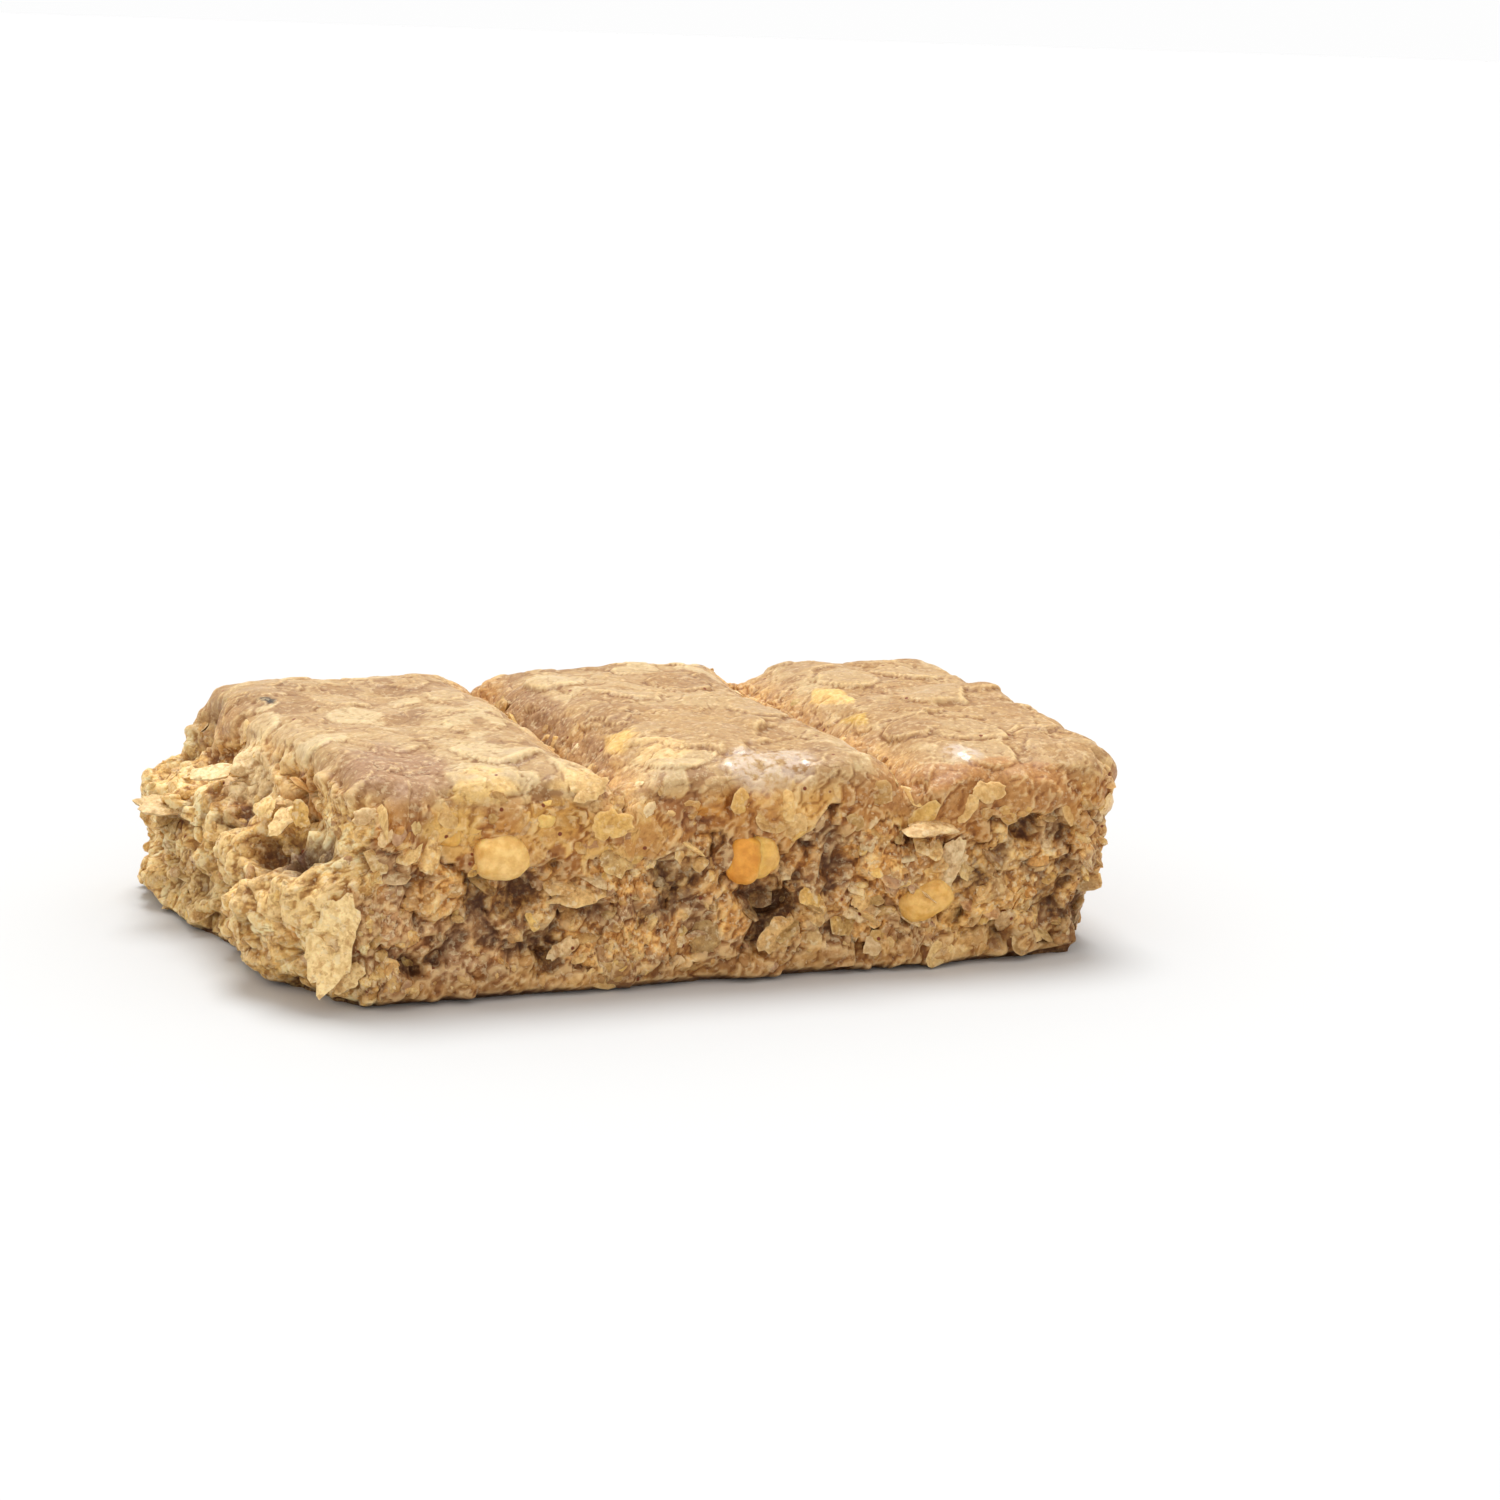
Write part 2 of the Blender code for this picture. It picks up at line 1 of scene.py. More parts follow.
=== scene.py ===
"""Looks of a scored oat and nut bar whose left end is torn off.

The bar's moulded form is worked out again on a fine grid, from the named sizes of its solid, and given the
packed grain, hollows and pressed oats of the real surface. Rolled oats, broken grain and nut pieces are set
in it.
Everything is in metres in the solid's own frame: +X along the bar to its moulded end, +Z up from the floor.
"""

import logging
import math
from dataclasses import dataclass
from enum import Enum, IntEnum

import bpy
import numpy as np
from mathutils import Matrix, Vector


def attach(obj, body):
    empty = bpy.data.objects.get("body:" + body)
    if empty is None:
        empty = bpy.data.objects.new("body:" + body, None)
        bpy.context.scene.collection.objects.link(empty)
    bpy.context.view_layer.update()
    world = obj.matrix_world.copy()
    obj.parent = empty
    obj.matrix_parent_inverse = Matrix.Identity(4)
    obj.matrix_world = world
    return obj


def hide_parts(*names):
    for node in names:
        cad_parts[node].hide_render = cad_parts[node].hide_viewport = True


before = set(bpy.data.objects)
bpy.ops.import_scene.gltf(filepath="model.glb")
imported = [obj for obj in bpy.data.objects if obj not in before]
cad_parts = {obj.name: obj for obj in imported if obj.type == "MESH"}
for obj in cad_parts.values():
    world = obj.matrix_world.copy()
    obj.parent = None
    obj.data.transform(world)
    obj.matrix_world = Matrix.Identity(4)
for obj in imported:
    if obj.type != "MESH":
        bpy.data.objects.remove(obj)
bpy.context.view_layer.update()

Array = np.ndarray
Colour = tuple[float, float, float]
Direction = tuple[float, float, float]
Lengths = tuple[float, ...]  # metres: a place, sizes along X, Y and Z, or a least and a greatest size
Range = tuple[float, float]  # a least and a greatest number
Waves = tuple[tuple[float, ...], ...]  # wavelength and height of each layer of smooth noise
Stops = tuple[tuple[float, Colour], ...]  # places from 0 to 1, and the colour at each
Socket = bpy.types.NodeSocket

MM = 0.001
SEED = 20417
BODY = "root"
NODE = "oat_bar"

log = logging.getLogger("oat_bar")


def mm(*lengths: float) -> Lengths:
    """Lengths in millimetres, as metres."""
    return tuple(MM * length for length in lengths)


def smooth_step(t: Array) -> Array:
    """0 below 0, 1 above 1, and the curve 3t^2 - 2t^3 between them."""
    t = np.clip(t, 0.0, 1.0)
    return t * t * (3.0 - 2.0 * t)


def bell(distance: Array, radius: float) -> Array:
    """1 at no distance, falling as a Gaussian whose width is the radius."""
    return np.exp(-((distance / radius) ** 2))


def unit_rows(rows: Array) -> Array:
    """Each row divided by its own length."""
    return rows / np.maximum(np.linalg.norm(rows, axis=-1, keepdims=True), 1e-12)


def grid_quads(index: Array) -> Array:
    """The quads between neighbours in a grid of vertex numbers, one a row."""
    return np.stack([index[:-1, :-1], index[1:, :-1], index[1:, 1:], index[:-1, 1:]], axis=-1).reshape(-1, 4)


class Layer(IntEnum):
    """Where each pattern starts among the noise's independent layers."""

    TOP_RELIEF = 0
    SIDE_RELIEF = 10
    TORN_RELIEF = 20
    LIP_EDGE = 30
    COARSE_JAG = 90
    FINE_JAG = 94
    WANDER = 98
    CLUMPS = 100
    GRAINS = 120
    LUMPS = 140
    CRUMBLING = 150
    SKIN_SCALES = 160
    SIDE_SCALES = 170
    SMALL_SCALES = 180
    LOST_GRAINS = 200
    LIP_RAG = 210
    NUTS = 310


@dataclass(frozen=True)
class Cells:
    """What each point finds in a scatter of cell centres.

    near is the distance to the nearest centre and gap how much further the second one is, both in cell sizes.
    number is the cell's own random number, lean its random direction, offset the way from its centre in cell
    sizes, and centre its own centre.
    """

    near: Array
    gap: Array
    number: Array
    lean: Array
    offset: Array
    centre: Array


@dataclass(frozen=True)
class Noise:
    """Random patterns in space, the same on every run."""

    seed: int
    stray: float = 0.42  # how far a cell's centre strays from the middle of its lattice place

    def draw(self, whole: Array, layer: int) -> Array:
        """A fixed random number from -1 to 1 for each whole-number point, by mixing its bits.

        Args:
            whole: Whole-number points, one a row.
            layer: Which of the noise's independent layers to draw from.

        Returns:
            One number for each row.
        """
        ix, iy, iz = whole.T
        mixed = (ix * 73856093) ^ (iy * 19349663) ^ (iz * 83492791) ^ ((self.seed + layer) * 15485863)
        mixed = (mixed ^ (mixed >> 13)) * 1274126177 & 0xFFFFFFFF
        mixed = (mixed ^ (mixed >> 16)) * 668265263 & 0xFFFFFFFF
        return (mixed >> 8 & 0xFFFF) / 32767.5 - 1.0

    def smooth(self, points: Array, wavelength: float, layer: int = 0) -> Array:
        """Smooth noise from -1 to 1: the lattice's random numbers, blended by a smooth step along each axis.

        Args:
            points: Places in space, one a row.
            wavelength: The lattice's spacing.
            layer: Which independent layer to read.

        Returns:
            One number for each point.
        """
        scaled = points / wavelength
        whole = np.floor(scaled).astype(np.int64)
        part = smooth_step(scaled - whole)
        total = np.zeros(len(points))
        for corner in range(8):
            step = np.array([corner & 1, corner >> 1 & 1, corner >> 2 & 1])
            weight = np.prod(np.where(step, part, 1.0 - part), axis=1)
            total += weight * self.draw(whole + step, layer)
        return total

    def layered(self, points: Array, layers: Waves, layer: int) -> Array:
        """The sum of several layers of smooth noise.

        Args:
            points: Places in space, one a row.
            layers: The wavelength and height of each layer.
            layer: The first of the independent layers to read.

        Returns:
            One number for each point.
        """
        return sum(
            height * self.smooth(points, wavelength, layer + index)
            for index, (wavelength, height) in enumerate(layers)
        )

    def warped(self, points: Array, wavelength: float, reach: float, layer: int) -> Array:
        """The points, each moved along X, Y and Z by smooth noise of its own, by up to reach."""
        moves = [self.smooth(points, wavelength, layer + axis) for axis in range(3)]
        return points + reach * np.stack(moves, axis=1)

    def cells(self, points: Array, size: float, layer: int) -> Cells:
        """Finds each point's nearest and second nearest of the centres that stray about a cubic lattice.

        Args:
            points: Places in space, one a row.
            size: The lattice's spacing.
            layer: Which independent layer to read.

        Returns:
            What each point finds.
        """
        scaled = points / size
        whole = np.floor(scaled).astype(np.int64)
        near = np.full(len(points), np.inf)
        second = near.copy()
        winner = whole.copy()
        offset = np.zeros_like(scaled)
        for step in np.ndindex(3, 3, 3):
            cell = whole + np.array(step) - 1
            stray = np.stack([self.draw(cell, layer + axis) for axis in range(3)], axis=1)
            away = scaled - cell - 0.5 - self.stray * stray
            distance = np.linalg.norm(away, axis=1)
            closer = distance < near
            second = np.where(closer, near, np.minimum(second, distance))
            near = np.where(closer, distance, near)
            winner[closer] = cell[closer]
            offset[closer] = away[closer]
        number = self.draw(winner, layer + 3)
        lean = unit_rows(np.stack([self.draw(winner, layer + axis) for axis in (4, 5, 6)], axis=1))
        return Cells(near, second - near, number, lean, offset, points - offset * size)


NOISE = Noise(SEED)


@dataclass(frozen=True)
class BarForm:
    """The bar's moulded form and its torn end, with the sizes of its solid."""

    pitch: float = 22.3 * MM  # from one groove to the next
    middle_groove_x: float = -5.6 * MM
    middle_groove_off: float = 0.7 * MM  # how far the middle groove is off the even spacing
    last_pillow: float = 18.2 * MM  # from the last groove to the moulded end
    width: float = 38.4 * MM
    height: float = 15.9 * MM
    pillow_rise: Lengths = mm(0.5, 0.5, 0.0)  # what each pillow stands above that height
    crown: float = 0.6 * MM  # fall of a pillow's top from its middle to its sides
    crown_power: float = 2.5
    groove_depth: float = 3.9 * MM
    groove_fade: float = 0.45  # share of its depth that a groove loses toward the sides
    groove_fade_run: float = 7.0 * MM
    shoulder_run: float = 5.2 * MM  # half the width of a groove
    shoulder_power: float = 1.75
    groove_slant: float = 0.8 * MM
    groove_wander: float = 0.4 * MM
    groove_wave: float = 6.0 * MM
    groove_phase: float = 2.1
    torn_shoulder: float = 0.7  # size of the torn groove's shoulder, as a share of the others'
    top_round: float = 2.8 * MM
    torn_round: float = 1.2 * MM
    base_round: float = 0.3 * MM
    corner_round: float = 4.4 * MM
    torn_corner_round: float = 1.0 * MM
    lip_bottom: float = 10.2 * MM  # mean height of the lip's lower edge
    lip_wander: float = 1.3 * MM
    lip_wave: float = 5.0 * MM
    base_top: float = 2.4 * MM  # height of the pressed band at the base
    side_share: float = 0.2  # share of the half width that the sides' draft reaches in from the side
    end_share: float = 0.15  # and the same along the bar, at the moulded end
    crumb_recess: float = 0.5 * MM  # how far the crumb lies behind the lip
    side_draft: float = 0.1 * MM
    end_draft: float = 1.3 * MM
    end_recess: float = 0.3 * MM
    torn_run: float = 9.0 * MM  # length of the bar that is drawn out to the torn face
    torn_cut: float = 3.4 * MM  # how far the near side is torn back
    ledge_top: float = 12.0 * MM
    ledge_fall: float = 3.0 * MM
    near_reach: float = 2.6 * MM  # how far the ledge stands out at the near and at the far side
    far_reach: float = 4.6 * MM
    torn_slant_share: float = 0.82
    torn_corner_cut: float = 2.4 * MM
    torn_corner_run: float = 2.6 * MM
    # Crags of the torn end: Y and Z of the middle, radius, and how far each stands out
    crags: tuple[Lengths, ...] = (
        mm(-10.5, 5.6, 4.2, 3.2),
        mm(-15.5, 8.2, 2.6, 1.2),
        mm(-9.0, 9.6, 2.3, -2.6),
        mm(0.5, 3.6, 2.6, -1.9),
        mm(12.0, 2.2, 3.0, 0.8),
        mm(11.0, 6.0, 2.0, -1.3),
        mm(10.0, 8.8, 2.4, 1.2),
        mm(-16.5, 1.2, 3.0, -1.2),
    )
    side_relief: Waves = (mm(4.5, 0.55), mm(2.3, 0.45))
    torn_relief: Waves = (mm(4.0, 1.0), mm(2.2, 0.7))
    top_relief: Waves = (mm(8.0, 0.45), mm(3.5, 0.22))
    side_blend: float = 3.0 * MM
    torn_blend: float = 3.0 * MM
    floor_blend: float = 1.5 * MM

    @property
    def grooves_x(self) -> tuple[float, float, float]:
        """X of the three grooves, the first of which the tear has opened."""
        even = self.middle_groove_x - self.middle_groove_off
        return even - self.pitch, self.middle_groove_x, even + self.pitch

    @property
    def torn_edge_x(self) -> float:
        """X of the groove that closed the first pillow."""
        return self.grooves_x[0]

    @property
    def right_end_x(self) -> float:
        """X of the moulded end."""
        return self.grooves_x[2] + self.last_pillow

    def groove_share(self, x: Array, y: Array) -> Array:
        """How deep in a groove each place is: superelliptic shoulders that meet along a wandering line.

        Args:
            x: X of the places.
            y: Y of the places.

        Returns:
            From 0 on a pillow to 1 along a groove.
        """
        share = np.zeros_like(x)
        for index, groove_x in enumerate(self.grooves_x):
            size = self.torn_shoulder if index == 0 else 1.0
            middle = groove_x - self.groove_slant * (y / self.width + 0.5)
            wander = self.groove_wander * np.sin(y / self.groove_wave + self.groove_phase * index)
            distance = np.abs(x - middle - wander)
            inward = np.clip(1.0 - distance / (size * self.shoulder_run), 0.0, 1.0)
            shoulder = (1.0 - inward**self.shoulder_power) ** (1.0 / self.shoulder_power)
            share = np.maximum(share, size * (1.0 - shoulder))
        return share

    def top_height(self, x: Array, y: Array) -> Array:
        """Height of the moulded top: the pillow's own height, less its crown's fall and the groove's drop.

        Args:
            x: X of the places.
            y: Y of the places.

        Returns:
            The height at each place.
        """
        pillow = (x > self.grooves_x[1]).astype(int) + (x > self.grooves_x[2])
        share = self.groove_share(x, y)
        rise = np.array(self.pillow_rise)[pillow] * (1.0 - share)
        edge = smooth_step((np.abs(y) - 0.5 * self.width + self.groove_fade_run) / self.groove_fade_run)
        drop = share * self.groove_depth * (1.0 - self.groove_fade * edge)
        crown = self.crown * np.abs(2.0 * y / self.width) ** self.crown_power
        return self.height + rise - drop - crown

    def torn_reach(self, y: Array, z: Array) -> Array:
        """How far the stub stands out: a slanted ledge, less the near side's cut, plus bell-shaped crags.

        Args:
            y: Y of the places.
            z: Height of the places.

        Returns:
            The reach at each place, along -X from the first groove.
        """
        across = smooth_step((y + 0.5 * self.width) / (self.torn_slant_share * self.width))
        reach = self.near_reach + (self.far_reach - self.near_reach) * across
        reach = reach * smooth_step((self.ledge_top - z) / self.ledge_fall) - self.torn_cut * (1.0 - across)
        for crag_y, crag_z, radius, out in self.crags:
            reach = reach + out * bell(np.hypot(y - crag_y, z - crag_z), radius)
        corner = smooth_step((np.abs(y) - 0.5 * self.width + self.torn_corner_run) / self.torn_corner_run)
        return reach - self.torn_corner_cut * corner

    @staticmethod
    def round_off(
        first: Array, second: Array, half: Array, first_radius: Array, second_radius: Array
    ) -> tuple[Array, Array]:
        """Rounds a box's edges in the plane of two axes.

        Past the rounds' centres the box's square shells become elliptic.

        Args:
            first: Coordinates along the first axis.
            second: Coordinates along the second axis.
            half: Half sizes of the box along the two axes.
            first_radius: The round's size along the first axis.
            second_radius: The round's size along the second axis.

        Returns:
            The rounded coordinates along the two axes.
        """
        past_first = np.maximum(np.abs(first) - (half[0] - first_radius), 0.0)
        past_second = np.maximum(np.abs(second) - (half[1] - second_radius), 0.0)
        share_first, share_second = past_first / first_radius, past_second / second_radius
        size = np.hypot(share_first, share_second)
        reach = np.maximum(share_first, share_second)
        trim = 1.0 - np.divide(reach, size, out=np.ones_like(size), where=size > 0)
        first = first - np.sign(first) * past_first * trim
        return first, second - np.sign(second) * past_second * trim

    def lip_height(self, x: Array, y: Array) -> Array:
        """Height of the lip's ragged lower edge: its mean height and smooth noise along the sides."""
        along = np.stack([x, y, np.zeros_like(x)], axis=1)
        return self.lip_bottom + self.lip_wander * NOISE.smooth(along, self.lip_wave, Layer.LIP_EDGE)

    def mould(self, unit: Array) -> Array:
        """Places points of a unit box, -1 to 1 each way, in the bar.

        The top edges, the base edge and the upright corners are rounded in turn. The sides take their draft,
        the height is scaled to the pillows, and what is near the left end is drawn out to the torn face.

        Args:
            unit: Points of the box, one a row.

        Returns:
            The same points in the bar.
        """
        half = np.array([0.5 * (self.right_end_x - self.torn_edge_x), 0.5 * self.width, self.height])
        points = np.stack([unit[:, 0], unit[:, 1], 0.5 * (unit[:, 2] + 1.0)], axis=1) * half
        torn = points[:, 0] < 0.0
        end_round = np.where(torn, self.torn_round, self.top_round)
        x, z = self.round_off(points[:, 0], points[:, 2], half[[0, 2]], end_round, self.top_round)
        y, z = self.round_off(points[:, 1], z, half[1:], self.top_round, self.top_round)
        base = np.clip(1.0 - z / self.base_round, 0.0, 1.0)
        inset = self.base_round * (1.0 - np.sqrt(1.0 - base * base))
        x = x * (1.0 - inset / half[0])
        y = y * (1.0 - inset / half[1])
        corner = np.where(torn, self.torn_corner_round, self.corner_round)
        x, y = self.round_off(x, y, half[:2], corner, corner)
        x = x + self.torn_edge_x + half[0]
        edge_y = smooth_step(1.0 - (1.0 - np.abs(unit[:, 1])) / self.side_share)
        edge_x = smooth_step(1.0 - (1.0 - unit[:, 0]) / self.end_share)
        low = 1.0 - z / self.height
        y = y - np.sign(y) * edge_y * self.side_draft * low
        x = x - edge_x * self.end_draft * low
        z = z * self.top_height(x, y) / self.height
        pull = smooth_step(1.0 - (x - self.torn_edge_x) / self.torn_run)
        x = x - pull * self.torn_reach(y, z)
        return np.stack([x, y, z], axis=1)

    def side_weight(self, points: Array) -> Array:
        """1 on the sides and the ends, 0 on the top, by the depth under the local top."""
        below = self.top_height(points[:, 0], points[:, 1]) - points[:, 2]
        return smooth_step(below / self.side_blend)

    def torn_weight(self, points: Array) -> Array:
        """1 on the torn end, 0 elsewhere, by the distance past the torn edge and the depth under the top."""
        past = smooth_step((self.torn_edge_x + self.torn_blend - points[:, 0]) / self.torn_blend)
        return self.side_weight(points) * past

    def roughen(self, points: Array, normals: Array) -> Array:
        """Moves points along their normals by the smooth noise of the top, the sides and the tear.

        Args:
            points: Places on the moulded surface.
            normals: The way out at each.

        Returns:
            The new places. The base stays flat.
        """
        side, torn = self.side_weight(points), self.torn_weight(points)
        lift = (1.0 - side) * NOISE.layered(points, self.top_relief, Layer.TOP_RELIEF)
        lift += (side - torn) * NOISE.layered(points, self.side_relief, Layer.SIDE_RELIEF)
        lift += torn * NOISE.layered(points, self.torn_relief, Layer.TORN_RELIEF)
        lift *= smooth_step(points[:, 2] / self.floor_blend)
        return points + normals * lift[:, None]


@dataclass(frozen=True)
class Grain:
    """One size of grain packed in the surface: how big, how uneven, and the gaps between neighbours."""

    size: float
    step: float  # how far one grain stands above or below the next
    lean: float  # how much a grain's face rises from one edge to the other
    gap: float  # width of the gap between grains, in grain sizes
    depth: float  # of that gap
    layer: int

    def relief(self, points: Array) -> tuple[Array, Array, Cells]:
        """Height of the grains' faces and depth of the smooth valleys along their borders.

        A face is the cell's own step and a plane tilted its own way.

        Args:
            points: Places on the surface, one a row.

        Returns:
            The height and the depth at each point, and the cells that the points lie in.
        """
        cells = NOISE.cells(points, self.size, self.layer)
        face = self.step * cells.number + self.lean * np.sum(cells.offset * cells.lean, axis=1)
        return face, self.depth * (1.0 - smooth_step(cells.gap / self.gap)), cells


class Zone(Enum):
    """The kinds of surface.

    Each has its share of the grain's relief, of its cracks and of the smooth lumps, and how far it lies back.
    """

    TOP = (0.16, 0.0, 0.5, 0.15 * MM)
    GROOVE = (0.25, 0.15, 0.5, 0.0)
    LIP = (0.5, 0.2, 1.0, 0.0)
    CRUMB = (0.8, 0.4, 0.6, 0.3 * MM)
    BASE = (0.5, 0.2, 0.8, 0.2 * MM)
    TORN = (0.4, 0.5, 1.0, 0.7 * MM)

    def __init__(self, relief: float, cracks: float, lumps: float, back: float) -> None:
        """Names the four numbers."""
        self.relief = relief
        self.cracks = cracks
        self.lumps = lumps
        self.back = back


class Tint(Enum):
    """The colours of flakes, nuts and stains, and the dark brown of painted shade, as they reflect light."""

    BRIGHT = (1.0, 0.745, 0.37)
    LIGHT = (0.96, 0.64, 0.225)
    CREAM = (0.90, 0.63, 0.27)
    PALE = (0.92, 0.72, 0.42)
    STRAW = (0.88, 0.58, 0.18)
    YELLOW = (0.86, 0.50, 0.11)
    ORANGE = (0.84, 0.38, 0.05)
    GREENISH = (0.62, 0.38, 0.06)
    TAN = (0.64, 0.38, 0.13)
    OLIVE = (0.60, 0.41, 0.16)
    RUSSET = (0.47, 0.22, 0.066)
    MAUVE = (0.52, 0.31, 0.18)
    CLAY = (0.40, 0.23, 0.125)
    SKIN = (0.44, 0.252, 0.094)
    # painted shade: dark brown laid where shade falls
    PAINTED_SHADE = (0.32, 0.17, 0.08)
    CHARRED = (0.03, 0.022, 0.02)


@dataclass(frozen=True)
class Swell:
    """A knob of the surface, or a hollow if its height is less than nothing."""

    place: Lengths
    radius: float
    height: float


@dataclass(frozen=True)
class Stain:
    """A patch of another colour: the bar's own stain, or painted shade in dark brown."""

    place: Lengths
    half: Lengths  # half its size along X, Y and Z
    tint: Tint
    share: float  # its strength
    fade: float = 0.35  # width of its border, in half sizes

    def cover(self, points: Array) -> Array:
        """How strongly each point is stained: the share within an ellipsoid that fades at its border."""
        distance = np.linalg.norm((points - self.place) / np.array(self.half), axis=1)
        return self.share * smooth_step((1.0 - distance) / self.fade)


FRONTWARD: Direction = (0.0, -1.0, 0.0)


@dataclass(frozen=True)
class Pressed:
    """One pressed flake that is given one by one."""

    place: Lengths
    half: float  # half its length
    narrow: float  # breadth as a share of the length
    toward: Direction  # the way its lifted edge looks
    height: float  # of that edge
    tone: float  # 0 is dark, 1 is pale


PRESSED_FLAKES = tuple(
    Pressed(mm(x, y, z), half * MM, narrow, toward, height * MM, tone)
    for x, y, z, half, narrow, toward, height, tone in (
        (-13.0, -11.4, 16.2, 3.4, 0.9, FRONTWARD, 0.50, 0.9),
        (3.0, -8.6, 16.4, 6.0, 0.9, (0.2, -1.0, 0.0), 0.55, 0.55),
        (-0.6, -15.6, 15.4, 2.6, 0.9, (-0.6, -1.0, 0.0), 0.50, 0.8),
        (-8.6, -16.0, 15.0, 3.0, 0.7, FRONTWARD, 0.44, 0.95),
        (-15.6, -16.4, 15.0, 3.0, 0.9, FRONTWARD, 0.33, 0.9),
        (24.0, -10.0, 16.0, 3.4, 0.8, (0.4, -1.0, 0.0), 0.44, 0.85),
        (29.0, -9.0, 15.4, 2.8, 0.8, (0.8, -1.0, 0.0), 0.44, 0.6),
        (17.0, -15.0, 15.2, 3.0, 0.8, FRONTWARD, 0.39, 0.35),
        (-22.6, -17.0, 14.6, 3.0, 0.8, (-0.4, -1.0, 0.0), 0.50, 0.4),
        (10.0, -16.6, 14.6, 2.8, 0.8, FRONTWARD, 0.39, 0.4),
        (-25.6, -2.0, 15.4, 3.6, 0.8, (-1.0, -0.4, 0.0), 0.50, 0.6),
        (-25.8, -10.0, 15.0, 3.0, 0.8, (-1.0, -0.5, 0.0), 0.44, 0.5),
        (-20.0, -7.0, 16.2, 3.8, 0.7, FRONTWARD, 0.33, 0.6),
        (9.6, -3.0, 16.2, 3.4, 0.7, FRONTWARD, 0.39, 0.75),
        (-12.0, 3.0, 16.2, 3.4, 0.7, FRONTWARD, 0.33, 0.7),
        (-26.6, 3.0, 14.0, 2.8, 0.8, (-1.0, -0.6, -0.4), 0.50, 0.9),
        (-24.6, -6.0, 15.6, 2.8, 0.8, (-1.0, -0.6, 0.0), 0.50, 1.0),
        (-23.6, -14.6, 14.6, 2.6, 0.8, (-0.6, -1.0, 0.0), 0.50, 0.1),
        (-26.8, 9.0, 14.0, 3.0, 0.8, (-1.0, -0.4, -0.3), 0.50, 0.2),
        (26.4, 1.6, 16.4, 3.8, 0.8, (0.3, -1.0, 0.0), 0.50, 1.0),
        (20.4, -8.4, 16.0, 2.8, 0.8, (-0.5, -1.0, 0.0), 0.50, 0.05),
        (22.4, 8.6, 16.0, 3.6, 0.7, (-0.4, -1.0, 0.0), 0.44, 1.0),
        (30.6, 3.6, 15.6, 3.0, 0.8, (0.8, -1.0, 0.0), 0.50, 0.1),
        (28.0, 10.6, 15.6, 3.2, 0.8, FRONTWARD, 0.44, 0.9),
        (23.6, -15.2, 15.4, 2.8, 0.8, FRONTWARD, 0.50, 1.0),
        (22.8, -3.0, 16.4, 2.8, 0.8, (0.2, -1.0, 0.0), 0.44, 0.1),
        (2.0, 4.6, 16.6, 3.6, 0.7, FRONTWARD, 0.44, 0.95),
        (8.0, 8.6, 16.2, 3.4, 0.8, (0.2, -1.0, 0.0), 0.44, 0.1),
        (-1.4, 11.4, 16.0, 3.2, 0.8, (-0.4, -1.0, 0.0), 0.44, 0.9),
        (-1.6, -1.6, 16.2, 2.6, 0.8, (-0.8, -1.0, 0.0), 0.44, 0.1),
    )
)


